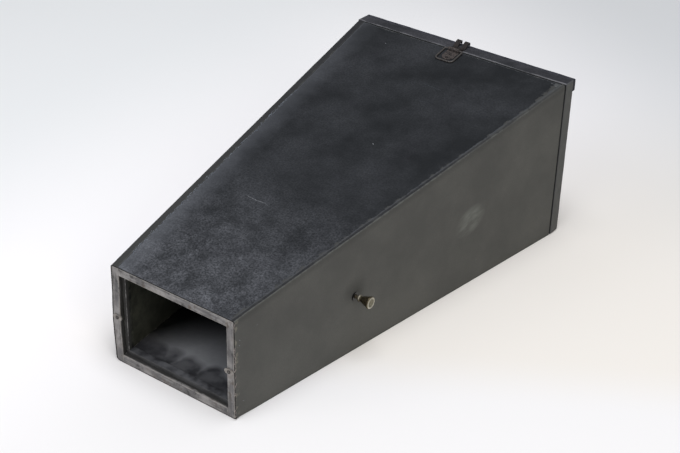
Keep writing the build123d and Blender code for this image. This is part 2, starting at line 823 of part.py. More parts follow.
catch_y = cover_front
catch_z = cover_top
mid = catch_thickness / 2
hump_start = catch_setback + catch_flange_length
hump_end = hump_start + prong_ramp + prong_top
hump_height = mid + prong_rise + prong_top_rise
strap_points = [
    (catch_setback, mid),
    (hump_start, mid),
    (hump_start + prong_ramp, mid + prong_rise),
    (hump_end, hump_height),
    (hump_end, hump_height - prong_leg),
]
strap_path = FilletPolyline(*[(catch_y + y, catch_z + z) for y, z in strap_points], radius=prong_bend)
strap_path = Plane.YZ * strap_path
catch_half = prong_gap / 2 + prong_width
section = Plane(origin=strap_path @ 0, x_dir=(1, 0, 0), z_dir=strap_path % 0) * Rectangle(
    2 * catch_half, catch_thickness
)
catch = sweep(section, path=strap_path)
catch -= block(
    -prong_gap / 2,
    prong_gap / 2,
    catch_y + hump_start,
    catch_y + hump_end + catch_thickness,
    catch_z,
    catch_z + hump_height + catch_thickness,
)
catch = Pos(latch_offset, 0, 0) * catch
catch_nails = []
for side in (-1, 1):
    y = catch_y + catch_setback + catch_flange_length * catch_nail_portion
    place = Pos(latch_offset + side * (prong_gap + prong_width) / 2, y, catch_z + catch_thickness)
    head = place * Cylinder(latch_nail_head_radius, latch_nail_head, align=from_start)
    head = fillet(head.edges().filter_by(GeomType.CIRCLE).sort_by(Axis.Z)[-1], latch_nail_head * 0.8)
    down = (Align.CENTER, Align.CENTER, Align.MAX)
    catch_nails.append(head + place * Cylinder(latch_nail_radius, latch_nail_length, align=down))
    cut = place * Cylinder(latch_nail_radius + hole_ease, latch_nail_length + hole_ease, align=down)
    catch -= cut
    cover_board -= cut
    cover_covering -= cut
parts["catch_hook"] = catch
parts["catch_hook_nails"] = grouped(catch_nails)

# Boards and sheets, once every hole in them is cut

parts["left_side_board"] = side_boards[-1]
parts["right_side_board"] = side_boards[1]
parts["top_board"] = top_board
parts["bottom_board"] = bottom_board
parts["joint_brads"] = grouped(brads)
parts["top_covering"] = top_covering
parts["left_covering"] = side_coverings[-1]
parts["right_covering"] = side_coverings[1]
parts["bottom_covering"] = bottom_covering
parts["cover_board"] = cover_board
parts["cover_covering"] = cover_covering

os.makedirs("parts", exist_ok=True)
for name, shape in parts.items():
    export_step(shape, f"parts/{name}.step")

pivot = (roof_plane * Pos(0, -bail_setback, bail_pivot_height)).position
print(f"{len(parts)} nodes")
print(f"cover hinge pin at y {pin_y:.3f}, z {pin_z:.3f}")
print(f"shutter rod at y {rod_y:.3f}, z {rod_z:.3f}")
print(f"bail pivot at x {pivot.X:.3f}, y {pivot.Y:.3f}, z {pivot.Z:.3f}")
print(f"bail lying {degrees(rise) + bail_tilt:.2f} degrees below level")
print(f"turn buttons at x {button_x:.4f}, y {button_back:.3f}, z {button_z:.3f}")
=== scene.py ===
# %% [markdown]
# # A photographic copy box
#
# This lesson dresses a tapered wooden box for making enlarged prints. A small
# negative sits at the narrow open end, a lens on an inner board throws its
# image, and the wide end is closed by a back cover that presses the paper flat.
#
# The CAD model gives every piece its place, so it is loaded first as a frame.
# Pieces whose CAD shape is already right keep it and only get a finish. Pieces
# whose wear shows in the outline, such as cloth edges and board ends, are made
# again here and stand for the CAD node.

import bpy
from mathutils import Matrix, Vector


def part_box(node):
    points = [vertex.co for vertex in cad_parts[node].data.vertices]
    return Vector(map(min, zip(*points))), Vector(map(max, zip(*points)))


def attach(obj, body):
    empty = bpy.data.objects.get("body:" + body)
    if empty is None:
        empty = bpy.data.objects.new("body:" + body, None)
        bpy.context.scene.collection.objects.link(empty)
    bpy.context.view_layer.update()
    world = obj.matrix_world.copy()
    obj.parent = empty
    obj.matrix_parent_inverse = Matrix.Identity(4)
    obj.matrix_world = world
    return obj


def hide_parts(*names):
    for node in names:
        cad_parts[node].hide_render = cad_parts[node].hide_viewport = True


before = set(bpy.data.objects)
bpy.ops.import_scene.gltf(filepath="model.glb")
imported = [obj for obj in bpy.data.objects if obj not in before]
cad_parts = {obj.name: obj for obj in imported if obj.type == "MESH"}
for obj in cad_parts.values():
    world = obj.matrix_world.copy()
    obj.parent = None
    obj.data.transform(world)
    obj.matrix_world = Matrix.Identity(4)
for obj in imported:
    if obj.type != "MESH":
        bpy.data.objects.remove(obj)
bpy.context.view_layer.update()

# %% [markdown]
# ## Tools
#
# Colours are written as hex codes, as a colour picker shows them, and lengths
# are in metres, or in millimetres times MM. One small function adds a node with
# its settings and links, for shaders and for Geometry Nodes alike.

# %% Tools for the whole lesson
import math

import bmesh
import bpy
from mathutils import Matrix, Vector, noise

MM = 0.001
scene = bpy.context.scene
scene.view_settings.view_transform = "Standard"


def linear(code):
    """A hex sRGB colour as linear red, green, blue and alpha."""
    parts = [int(code[i : i + 2], 16) / 255 for i in (1, 3, 5)]
    return [c / 12.92 if c <= 0.04045 else ((c + 0.055) / 1.055) ** 2.4 for c in parts] + [1.0]


def node(tree, kind, inputs=(), **settings):
    """Adds a node with its settings and its inputs, and gives it back.

    Inputs are a list in the order of the live sockets, or a dict by name or by that
    order. An input is a value, a hex colour, a socket, or a node, whose first live
    output is then meant. A kind without Node in it is one of the shader's.
    """
    made = tree.nodes.new(kind if "Node" in kind else "ShaderNode" + kind)
    for key, value in settings.items():
        setattr(made, key, value)
    live = [socket for socket in made.inputs if socket.enabled]
    for key, value in inputs.items() if isinstance(inputs, dict) else enumerate(inputs):
        socket = made.inputs[key] if isinstance(key, str) else live[key]
        if isinstance(value, bpy.types.Node):
            value = next(output for output in value.outputs if output.enabled)
        if isinstance(value, bpy.types.NodeSocket):
            tree.links.new(value, socket)
        else:
            socket.default_value = linear(value) if isinstance(value, str) else value
    return made


# %% [markdown]
# ## The box's own shape
#
# The body is a frustum with a level underside. Its sides splay and its top
# rises towards the back. Every sheet and board follows the same two slopes, so
# two small functions give the half width and the height at any place along it.
# An inset is measured square to the sloping face, as a board's thickness is.

# %% Sizes in metres
LENGTH = 0.340
FRONT_Y, SEAM_Y = -LENGTH / 2, LENGTH / 2
FRONT_WIDTH, REAR_WIDTH = 0.109, 0.196
FRONT_HEIGHT, REAR_HEIGHT = 0.079, 0.134
CLOTH, BOARD = 0.0005, 0.006
SKIN = CLOTH + BOARD
FOLD = {-1: 0.006, 1: 0.0025}  # width of the left and the right fold on the top
COVER_FRONT, COVER_BACK, RAIL_BACK = 0.1708, 0.1823, 0.1856
COVER_HALF, COVER_LOW, COVER_TOP = 0.0988, 0.0004, 0.134
SPLAY = math.atan((REAR_WIDTH - FRONT_WIDTH) / 2 / LENGTH)
RISE = math.atan((REAR_HEIGHT - FRONT_HEIGHT) / LENGTH)


def between(low, high, share):
    return low + (high - low) * share


def along(y):
    """From 0 at the small end to 1 at the seam."""
    return (y - FRONT_Y) / LENGTH


def half_width(y, inset=0.0):
    return between(FRONT_WIDTH, REAR_WIDTH, along(y)) / 2 - inset / math.cos(SPLAY)


def roof(y, inset=0.0):
    return between(FRONT_HEIGHT, REAR_HEIGHT, along(y)) - inset / math.cos(RISE)


print(f"splay {math.degrees(SPLAY):.2f} degrees, rise {math.degrees(RISE):.2f} degrees")

# %% [markdown]
# ## Camera
#
# The camera stands where the photograph was taken from: its place, turn and
# focal length were fitted to the straight edges of the box, with the picture
# 680 pixels wide. It is set as one matrix whose columns are right, up and back.

# %% Camera
AZIMUTH, ELEVATION, ROLL = 0.6296, 0.5407, 0.0269
AIM, DISTANCE = Vector((0.0126, 0.0, 0.0550)), 1.0996
camera = bpy.data.objects.new("camera", bpy.data.cameras.new("camera"))
scene.collection.objects.link(camera)
scene.camera = camera
camera.data.sensor_width = 36.0
camera.data.lens = 78.56
camera.data.clip_start = 0.05
camera.data.clip_end = 20.0
outward = Vector(
    (
        math.cos(ELEVATION) * math.sin(AZIMUTH),
        -math.cos(ELEVATION) * math.cos(AZIMUTH),
        math.sin(ELEVATION),
    )
)
level_right = (-outward).cross(Vector((0, 0, 1))).normalized()
level_up = level_right.cross(-outward)
right = math.cos(ROLL) * level_right + math.sin(ROLL) * level_up
up = -math.sin(ROLL) * level_right + math.cos(ROLL) * level_up
turn = Matrix((right, up, outward)).transposed().to_4x4()
camera.matrix_world = Matrix.Translation(AIM + outward * DISTANCE) @ turn
print("camera at", [round(c, 4) for c in camera.matrix_world.translation])

# %% [markdown]
# ## How a finish is made
#
# Every finish reads the object's own coordinates. All objects sit at the origin
# in metres, so a pattern's scale is one over its real size in metres. It ends
# in a Principled shader, with bump from one of its patterns.
#
# What lies between is thought of as a painter would: coats of colour, each with
# a mask that says where it lies. A mask is a value with a window, and the coat
# goes from nothing to full as the value crosses the window. Masks are
# multiplied where several have to hold.

# %% Coats and masks


def start_finish(name):
    """A new material, its empty tree, and the place of each point in metres."""
    made = bpy.data.materials.new(name)
    made.use_nodes = True
    made.node_tree.nodes.clear()
    place = node(made.node_tree, "TexCoord").outputs["Object"]
    return made, made.node_tree, place


def end_finish(tree, inputs, height=None, strength=0.0, depth=0.0):
    """Adds the shader with its inputs, and bump of a depth in metres from a height."""
    if height is not None:
        bump = {"Height": height, "Strength": strength, "Distance": depth}
        inputs["Normal"] = node(tree, "Bump", bump)
    node(tree, "OutputMaterial", {"Surface": node(tree, "BsdfPrincipled", inputs)})


def coats(tree, ground, *layers):
    """Lays colours over a ground, in order.

    A layer is its colour, the value that says where it lies and, if need be, the
    window: low, high, and the mask's strength at both ends.
    """
    for colour, mask, *window in layers:
        if window:
            mask = node(tree, "MapRange", (mask, *window))
        ground = node(tree, "Mix", (mask, ground, colour), data_type="RGBA")
    return ground


def overlap(tree, *masks):
    """The product of masks, each a value or a tuple of a value and its window."""
    product = None
    for mask in masks:
        if isinstance(mask, tuple):
            mask = node(tree, "MapRange", mask)
        if product is not None:
            mask = node(tree, "Math", (product, mask), operation="MULTIPLY")
        product = mask
    return product


def patchy(tree, place, size, low, high, weak=0.0, strong=1.0, detail=4.0, rough=0.6):
    """A noise with patches about size metres wide, from weak below low to strong above high."""
    cloud = node(tree, "TexNoise", (place, 1 / size, detail, rough))
    return node(tree, "MapRange", (cloud, low, high, weak, strong))


def ragged(tree, distance, place, size, reach, detail=4.0):
    """A distance that a noise makes longer by up to reach, so that what ends there is ragged."""
    cloud = node(tree, "TexNoise", (place, 1 / size, detail, 0.6))
    return node(tree, "Math", (cloud, reach, distance), operation="MULTIPLY_ADD")


# %% [markdown]
# ## Floor and light
#
# The box lies on seamless pale paper in a light tent. A wide lamp overhead
# keeps the shadow close to the box, a lamp at the front left reaches into the
# mouth, and one at the right throws the knob's soft shadow. Light and shade are
# also painted into the paper's colour: it starts as the warm painted shadow that
# lies beside the box, and four fades of painted light and shade change it away
# from there: paler in front and to the right, white at the left, and grey where
# the light falls off far to the left and far behind. The order of the list is
# the order of the layers.

# %% Floor
floor_mesh = bpy.data.meshes.new("floor_paper")
floor_mesh.from_pydata(
    [(-6, -6, 0), (6, -6, 0), (6, 6, 0), (-6, 6, 0)], [], [(0, 1, 2, 3)]
)
floor = bpy.data.objects.new("floor_paper", floor_mesh)
scene.collection.objects.link(floor)

# %% [markdown]
# Each fade, of painted light and shade, is a smooth step along one direction
# over the floor, between two values of the place's dot product with that
# direction.

# %% Seamless paper, with painted light and shade
paper, tree, place = start_finish("seamless_paper")
# The starting tint is the warm painted shadow that lies beside the box.
paper_and_painted_shade = "#ede7de"
# Fades of painted light and shade: paler in front and at the right, white at the left, grey where
# light falls off far away.
for direction, start, full, colour in (
    ((0.6, -1.0, 0.0), 0.085, 0.16, "#efece9"),
    ((-1.0, 0.3, 0.0), -0.10, 0.15, "#fffbf9"),
    ((-1.0, 0.0, 0.0), 0.13, 0.42, "#efefed"),
    ((0.45, 1.0, 0.0), 0.22, 0.62, "#dededd"),
):
    reach = node(tree, "VectorMath", (place, direction), operation="DOT_PRODUCT")
    fade = node(tree, "MapRange", (reach, start, full), interpolation_type="SMOOTHSTEP")
    paper_and_painted_shade = coats(tree, paper_and_painted_shade, (colour, fade))
end_finish(tree, {"Base Color": paper_and_painted_shade, "Roughness": 0.9, "Specular IOR Level": 0.2})
floor.data.materials.append(paper)
print("floor:", paper.name)

# %% [markdown]
# The lamps are large squares, which give soft edges to every shadow, and the
# world fills in from all sides as the walls of a light tent do.

# %% Lamps and world


def soft_lamp(name, place, size, power, colour):
    """A square area lamp that points at the middle of the box."""
    lamp = bpy.data.lights.new(name, "AREA")
    lamp.shape = "SQUARE"
    lamp.size = size
    lamp.energy = power
    lamp.color = linear(colour)[:3]
    holder = bpy.data.objects.new(name, lamp)
    scene.collection.objects.link(holder)
    aim_at = (Vector((0, 0, 0.06)) - Vector(place)).to_track_quat("-Z", "Y")
    holder.matrix_world = Matrix.Translation(place) @ aim_at.to_matrix().to_4x4()


soft_lamp("overhead_softbox", (0.3, -0.2, 2.2), 1.2, 34, "#f5f8ff")
soft_lamp("front_left_softbox", (-0.4, -1.75, 0.85), 2.0, 16, "#f6f9ff")
soft_lamp("front_right_softbox", (1.4, -0.9, 1.1), 0.8, 8, "#fffcf8")
world = bpy.data.worlds.new("light_tent")
scene.world = world
world.use_nodes = True
world.node_tree.nodes.clear()
surround = node(world.node_tree, "Background", ("#f1f4f8", 0.31))
node(world.node_tree, "OutputWorld", {"Surface": surround})

# %% [markdown]
# ## Finishes
#
# Wear follows edges. Each new mesh carries an attribute, edge_near, that is 1
# on an edge and falls to 0 at 3 mm from it. A CAD node has no such attribute,
# which reads as 0, so its edges simply stay whole.

# %% Wear at edges
EDGE_BAND = 3.0  # millimetres over which edge_near falls from 1 to 0


def rubbed(tree, place, reach_mm, patch, low, high):
    """From 0 to 1: wear that starts at an edge and reaches in by as much as a noise allows."""
    edge = node(tree, "Attribute", attribute_name="edge_near").outputs["Fac"]
    furthest = 1 - reach_mm / EDGE_BAND
    limit = patchy(tree, place, patch, low, high, 1.03, furthest, rough=0.65)
    over = node(tree, "Math", (edge, limit), operation="SUBTRACT")
    return node(tree, "MapRange", (over, 0.0, 0.08))


# %% [markdown]
# ### Leathercloth
#
# Leathercloth is cotton coated with black paste and rolled to a fine grain. The
# real grain is about half a millimetre, under a pixel here, so it is drawn at
# 1.1 to 1.7 mm. Dust lies in it, most of all near the small end. At edges the
# coating is first rubbed grey, and then through to pale cotton in small spots.
# The cut front ends carry a painted shadow: a thin dark line round the mouth's
# wood, where the gap between cloth and board lies in shade. A fold on the top
# keeps the cloth's own black, and is rubbed grey less than the rest.

# %% Leathercloth


def leathercloth(name, dark, dusty, rub, bare, dust, grain, speck, cloudy=0.3, mark=None):
    """Coated cotton between a dark and a dusty colour.

    Wear at an edge shows rub and then bare. The two shares of dust are for the small
    end and for everywhere, grain is its size in metres, speck and cloudy are how much
    the dust varies in grains and in clouds, and mark adds what one sheet has alone.
    """
    made, tree, place = start_finish(name)
    y = node(tree, "SeparateXYZ", (place,)).outputs["Y"]
    near_end = node(tree, "MapRange", (y, -0.17, -0.03, dust[0], 0.0))
    broad = patchy(tree, place, 0.05, 0.35, 0.65, 1 - cloudy, 1 + cloudy, detail=3.0)
    wisps = node(tree, "TexNoise", (place, 1 / 0.012, 6.0, 0.68, 2.0, 0.3))
    clouds = (wisps, 0.36, 0.66, 1 - cloudy, 1 + cloudy)
    grains = node(tree, "TexNoise", (place, 1 / grain, 3.0, 0.75))
    dots = node(tree, "MapRange", (grains, 0.38, 0.66, 1 - speck, 1 + speck))
    thick = overlap(tree, near_end, clouds, dots)
    fine = (grains, 0.38, 0.66, 1 - speck / 2, 1 + speck / 2)
    thin = overlap(tree, broad, fine, dust[1])
    dust_here = node(tree, "Math", (thick, thin), operation="ADD", use_clamp=True)
    colour = coats(tree, dark, (dusty, dust_here))
    if mark:
        colour = mark(tree, place, colour)
    fold = node(tree, "Attribute", attribute_name="fold").outputs["Fac"]
    folded = overlap(tree, fold, (wisps, 0.3, 0.5, 0.7, 1.0))
    fold_black = coats(tree, "#0f0f11", ("#29292b", dots))
    unfolded = node(tree, "Math", (folded, -0.85, 1.0), operation="MULTIPLY_ADD")
    greyed = overlap(tree, rubbed(tree, place, 1.2, 0.005, 0.2, 0.6), 0.75, unfolded)
    through = rubbed(tree, place, 0.45, 0.0022, 0.6, 0.74)
    # Painted shadow: a thin dark line at the cloth's front end, where the gap to the board is in
    # shade.
    front_gap_shade = node(tree, "Math", (wisps, 0.8 * MM, y), operation="MULTIPLY_ADD")
    colour = coats(
        tree,
        colour,
        (fold_black, folded),
        (rub, greyed),
        (bare, through),
        ("#1b1a1a", front_gap_shade, FRONT_Y + 0.85 * MM, FRONT_Y + 0.55 * MM),
    )
    matt = node(tree, "MapRange", (dust_here, 0.0, 1.0, 0.66, 0.9))
    skin = {"Base Color": colour, "Roughness": matt, "Specular IOR Level": 0.15}
    end_finish(tree, skin, grains, 0.35, 0.00018)
    return made


# %% [markdown]
# Something once rubbed against the right side, behind the knob, and left a
# slanting paler patch. It is an ellipse round a point on the side, with streaks
# along it. A band under the arris is darker. Painted shade darkens the side
# round the bush, and the last millimetres before the front are chafed to a
# yellowish grey.

# %% Marks of the right side, and painted shade round the bush
PATCH_CENTRE = (0.0846, 0.0660, 0.0565)
PATCH_LENGTH, PATCH_WIDTH = 0.018, 0.0125
PATCH_TURN = math.radians(16)
BUSH_CENTRE = Vector([(a + b) / 2 for a, b in zip(*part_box("rod_bush"))])
BUSH_SHADE_CENTRE = BUSH_CENTRE + Vector((0, 0, 4 * MM))


def side_marks_and_painted_shade(tree, place, under):
    x, y, z = node(tree, "SeparateXYZ", (place,)).outputs
    on_right = node(tree, "MapRange", (x, 0.0, 0.01))
    moved = node(tree, "VectorMath", (place, PATCH_CENTRE), operation="SUBTRACT")
    cos, sin = math.cos(PATCH_TURN), math.sin(PATCH_TURN)
    ways = (
        (0.0, cos / PATCH_LENGTH, sin / PATCH_LENGTH),
        (0.0, -sin / PATCH_WIDTH, cos / PATCH_WIDTH),
    )
    far = [node(tree, "VectorMath", (moved, way), operation="DOT_PRODUCT") for way in ways]
    squares = [node(tree, "Math", (value, value), operation="MULTIPLY") for value in far]
    off_centre = node(tree, "Math", squares, operation="ADD")
    drawn_out = node(tree, "Math", (far[0], 0.6), operation="MULTIPLY")
    streak_place = node(tree, "CombineXYZ", (drawn_out, far[1], 0.5))
    streaks = patchy(tree, streak_place, 0.7, 0.40, 0.62, 0.12, 0.70, detail=3.0)
    arris = node(tree, "Math", (y, math.tan(RISE), roof(0.0)), operation="MULTIPLY_ADD")
    below = node(tree, "Math", (arris, z), operation="SUBTRACT")
    spots = patchy(tree, place, 0.0045, 0.52, 0.64, 0.0, 0.5)
    at_front = (y, FRONT_Y + 5 * MM, FRONT_Y + 2 * MM)
    off_bush = node(tree, "VectorMath", (place, BUSH_SHADE_CENTRE), operation="DISTANCE")
    return coats(
        tree,
        under,
        ("#7d8079", overlap(tree, (off_centre, 1.0, 0.0), on_right, streaks)),
        ("#3a3a38", ragged(tree, below, place, 0.008, 0.004), 0.0085, 0.0045, 0.0, 0.4),
        ("#8c8779", overlap(tree, spots, at_front, on_right)),
        # Painted shade round the bush, a little above its middle.
        ("#383835", ragged(tree, off_bush, place, 0.006, 0.008), 0.017, 0.007, 0.0, 0.5),
    )


# %% [markdown]
# The top is dusty beside its left fold and rubbed olive grey beside its right
# arris, near the seam. The cover's two ends carry painted side light, grey like
# the box's sides, and are told from the rest of its cloth by their distance from
# the middle. Its top front arris is rubbed pale in places.

# %% Marks of the top and of the cover


def top_marks(tree, place, under):
    x, y, _ = node(tree, "SeparateXYZ", (place,)).outputs
    arris = node(tree, "Math", (y, math.tan(SPLAY), half_width(0.0)), operation="MULTIPLY_ADD")
    left_gap = node(tree, "Math", (arris, x), operation="ADD")
    left_gap = ragged(tree, left_gap, place, 0.010, 0.014, 5.0)
    dusty = overlap(tree, (left_gap, 0.032, 0.013), (y, FRONT_Y, SEAM_Y, 0.38, 0.15))
    right_gap = node(tree, "Math", (arris, x), operation="SUBTRACT")
    right_gap = ragged(tree, right_gap, place, 0.006, 0.010, 5.0)
    reach = node(tree, "MapRange", (y, 0.130, 0.166, 0.0, 0.0036))
    beyond = node(tree, "Math", (right_gap, reach), operation="SUBTRACT")
    olive = ("#424240", beyond, 0.0089, 0.0078, 0.0, 0.85)
    return coats(tree, under, ("#6f7176", dusty), olive)


def cover_marks(tree, place, under):
    x, y, z = node(tree, "SeparateXYZ", (place,)).outputs
    from_front = ragged(tree, y, place, 0.004, 2.2 * MM)
    pale = overlap(
        tree,
        (from_front, COVER_FRONT + 3.3 * MM, COVER_FRONT + 1.9 * MM, 0.0, 0.85),
        (z, COVER_TOP - 0.9 * MM, COVER_TOP - 0.4 * MM),
        patchy(tree, place, 0.022, 0.44, 0.58, 0.05, 1.0),
    )
    cloud = node(tree, "TexNoise", (place, 1 / 0.004, 4.0, 0.6))
    painted_side_light = coats(tree, "#4a4a48", ("#60605d", cloud))
    far_out = node(tree, "Math", (x,), operation="ABSOLUTE")
    # The cover's ends get a grey of painted side light.
    ends = (painted_side_light, far_out, COVER_HALF - 1.2 * MM, COVER_HALF - 0.4 * MM)
    return coats(tree, under, ("#858385", pale), ends)


# %% [markdown]
# The same cloth is given four finishes. The top is black and dusty at the small
# end, the sides are an even grey that is painted side light and sheen on the
# same black cloth, the cover's is coarser and darker, and the underside is plain.

# %% The four leathercloths
top_leathercloth = leathercloth(
    "black_leathercloth_top", "#141618", "#626367", "#46484b", "#6f6f6f",
    (0.34, 0.115), 1.4 * MM, 0.8, 0.66, top_marks,
)
# The side sheets' grey is painted side light and sheen on the same black cloth.
side_leathercloth_painted_light = leathercloth(
    "grey_leathercloth_side", "#41413f", "#696863", "#565753", "#7b7872",
    (0.0, 0.40), 1.1 * MM, 0.3, 0.32, side_marks_and_painted_shade,
)
cover_leathercloth = leathercloth(
    "rough_leathercloth_cover", "#1d1e21", "#5b5a5e", "#4c4c4e", "#59585a",
    (0.0, 0.34), 1.7 * MM, 0.8, 0.65, cover_marks,
)
under_leathercloth = leathercloth(
    "plain_leathercloth_under", "#222326", "#4e4f4e", "#4d4e4b", "#7b7972",
    (0.0, 0.4), 1.3 * MM, 0.5,
)
print("leathercloths:", [m.name for m in bpy.data.materials if "leathercloth" in m.name])

# %% [markdown]
# ### Painted wood
#
# The boards are softwood under thin black paint. Inside, the paint is matt and
# almost whole, with scuffs near the mouth that are made paler by painted light
# there, fading out 75 mm in. On the bare ends, hands and negatives have rubbed
# it to grey, with brown wood in places. The worn part is told from the rest by
# its depth behind an end, so one material serves the whole board. The grain is
# 1.4 mm wide and 30 mm long.

# %% Painted wood
GRAIN_WIDTH, GRAIN_LENGTH = 0.0014, 0.03


def painted_wood(
    name,
    grain_axis,
    worn_depth=1.2 * MM,
    inside=None,
    arris="#8c8883",
    paint="#1b1c1b",
    reach=0.8,
    seam=None,
):
    """Black paint with grey wear. A worn_depth below 0 keeps the wear off the front.

    The wear reaches in from an edge by reach millimetres, and seam is the colour of
    a bare strip at the rear end.
    """
    made, tree, place = start_finish(name)
    stretch = [1 / GRAIN_WIDTH] * 3
    stretch[grain_axis] = 1 / GRAIN_LENGTH
    grain_place = node(tree, "Mapping", {"Vector": place, "Scale": stretch})
    grain = node(tree, "TexNoise", (grain_place, 1.0, 5.0, 0.62))
    blotch = node(tree, "TexNoise", (place, 1 / 0.011, 5.0, 0.6))
    patches = node(tree, "TexNoise", (place, 1 / 0.006, 5.0, 0.65))
    smooth = node(tree, "TexNoise", (place, 1 / 0.019, 2.0, 0.6))
    y = node(tree, "SeparateXYZ", (place,)).outputs["Y"]
    depth = node(tree, "Math", (y, FRONT_Y), operation="SUBTRACT")
    grey = coats(
        tree,
        "#565454",
        ("#918e8c", grain, 0.3, 0.7),
        ("#584f48", patches, 0.54, 0.66, 0.0, 0.8),
        ("#3c3a39", patches, 0.46, 0.34, 0.0, 0.85),
        ("#a19d9a", smooth, 0.48, 0.62, 0.0, 0.5),
        ("#4f4e4f", smooth, 0.46, 0.36, 0.0, 0.5),
    )
    # Scuffs near the mouth, made paler by painted light that fades out 75 mm inside.
    scuffs_and_painted_light = overlap(tree, (depth, 0.0, 0.075, 1.0, 0.0), (blotch, 0.42, 0.66, 0.0, 0.8))
    colour = coats(tree, paint, ("#56574c", scuffs_and_painted_light))
    if inside:
        colour = inside(tree, place, depth, colour)
    worn = (blotch, 3.0 * MM, worn_depth - 1.5 * MM)
    worn = node(tree, "Math", worn, operation="MULTIPLY_ADD")
    worn = node(tree, "Math", (worn, depth), operation="SUBTRACT")
    lip = coats(tree, "#232322", ("#403f3d", grain))
    front = (grey, worn, -0.4 * MM, 0.4 * MM)
    colour = coats(tree, colour, (lip, depth, 4.2 * MM, 3.4 * MM), front)
    if seam:
        bare = node(tree, "Math", (patches, 4.0 * MM, 0.6 * MM), operation="MULTIPLY_ADD")
        tail = node(tree, "Math", (SEAM_Y, y), operation="SUBTRACT")
        bare = node(tree, "Math", (bare, tail), operation="SUBTRACT")
        strip = overlap(tree, (bare, -0.6 * MM, 0.6 * MM), (smooth, 0.42, 0.56, 0.15, 1.0))
        colour = coats(tree, colour, (seam, strip))
    edges = rubbed(tree, place, reach, 0.005, 0.3, 0.58)
    if worn_depth < 0:
        edges = overlap(tree, edges, (depth, 8.5 * MM, 6.5 * MM))
    colour = coats(tree, colour, (arris, overlap(tree, edges, 0.9)))
    skin = {"Base Color": colour, "Roughness": 0.75, "Specular IOR Level": 0.15}
    end_finish(tree, skin, grain, 0.4, 0.00025)
    return made


# %% [markdown]
# The floor just inside the mouth is dusty grey, and this grey is also a painted
# pool of light: it reaches further in on the right, as light slanting in at the
# mouth would, and fades away further in. Deeper still the floor is painted near
# black as painted shade. Darker scalloped stains eat into the grey from the
# front, where damp fingers touched it. The stain ends at a depth that is greater
# near the middle of each round cell, which gives the scallops. The front faces
# of the ledges are rubbed a little by negatives, and the rail's paint is clouded
# like the cloth beside it.

# %% Marks on wood, with painted light and shade in the mouth


def mouth_stains_and_painted_light(tree, place, depth, under):
    bend = node(tree, "TexNoise", (place, 1 / 0.02, 2.0, 0.5)).outputs["Color"]
    pushed = node(tree, "VectorMath", (bend, (0.012, 0.012, 0.0)), operation="MULTIPLY")
    bent = node(tree, "VectorMath", (place, pushed), operation="ADD")
    cells = node(tree, "TexVoronoi", (bent, 1 / 0.021), feature="F1")
    lobes = node(tree, "Math", (cells, 0.028, depth), operation="MULTIPLY_ADD")
    across = node(tree, "SeparateXYZ", (place,)).outputs["X"]
    light_slant = node(tree, "Math", (depth, -0.33, across), operation="MULTIPLY_ADD")
    cloud = node(tree, "TexNoise", (place, 1 / 0.004, 4.0, 0.6))
    broken = patchy(tree, place, 0.011, 0.38, 0.62, 0.98, 0.78, detail=2.0)
    dust = coats(tree, "#a6a7aa", ("#bbbcc0", cloud))
    stain = coats(tree, "#2b2b2e", ("#4c4c50", depth, 0.010, 0.022))
    return coats(
        tree,
        under,
        # Painted shade: the floor darkens to near black from 20 to 70 mm inside.
        ("#0c0c0c", depth, 0.02, 0.07),
        # Dust and a painted pool of light, reaching further in on the right.
        (dust, overlap(tree, (depth, 0.078, 0.022), (light_slant, -0.064, -0.026))),
        (stain, overlap(tree, (lobes, 0.0435, 0.0315), broken)),
    )


def greyed_front(tree, place, depth, under):
    cloud = node(tree, "TexNoise", (place, 1 / 0.003, 4.0, 0.6))
    worn = coats(tree, "#2a2a29", ("#484745", cloud))
    return coats(tree, under, (worn, depth, 7.5 * MM, 5.5 * MM))


def faint_clouds(tree, place, depth, under):
    return coats(tree, under, ("#44444a", patchy(tree, place, 0.007, 0.35, 0.65, 0.0, 0.7)))


# %% [markdown]
# Seven painted woods follow. They differ in the way that their grain runs,
# upright or across, and in the marks that they carry.

# %% The seven painted woods
BACK_ONLY = -0.01  # a worn depth for wood that isn't worn at its front
upright_wood = painted_wood("black_painted_pine_upright", 2, paint="#35362f")
level_wood = painted_wood("black_painted_pine_level", 0, seam="#727173")
floor_wood = painted_wood("black_painted_pine_floor", 0, inside=mouth_stains_and_painted_light)
ledge_wood = painted_wood(
    "black_painted_pine_ledge", 0, BACK_ONLY, greyed_front, "#8b8987", reach=0.45
)
sill_wood = painted_wood(
    "black_painted_pine_sill", 0, BACK_ONLY, mouth_stains_and_painted_light, "#525151", reach=0.45
)
cover_wood = painted_wood("black_painted_pine_cover", 2, BACK_ONLY, paint="#232423")
rail_wood = painted_wood(
    "black_painted_beech_rail", 0, BACK_ONLY, faint_clouds, paint="#292a2f"
)
print("painted woods:", [m.name for m in bpy.data.materials if "painted" in m.name])

# %% [markdown]
# ### Metals, felt and glass
#
# The hinges and the catch are mild steel, blued once and now brown with rust.
# The bail and its plate are rusted too, and the turn buttons are worn to grey.
# Brads and screws are bare steel gone dull. The rod and its nuts are brass that
# has darkened with handling. The lens mount and the bush are brass under black
# lacquer. Each is a base with patches of tarnish over it, which are rougher and
# less metallic to the eye.

# %% Metals


def aged_metal(name, base, tarnish, patch_mm, metal, smooth, matt, share):
    """Metal with patches of tarnish; share is the noise level at which they begin."""
    made, tree, place = start_finish(name)
    spots = node(tree, "TexNoise", (place, 1 / (patch_mm * MM), 6.0, 0.7))
    cover = node(tree, "MapRange", (spots, share, share + 0.2))
    skin = {
        "Base Color": coats(tree, base, (tarnish, cover)),
        "Roughness": node(tree, "MapRange", (cover, 0.0, 1.0, smooth, matt)),
        "Metallic": node(tree, "MapRange", (cover, 0.0, 1.0, metal, metal * 0.2)),
    }
    end_finish(tree, skin, spots, 0.4, 0.0001)
    return made


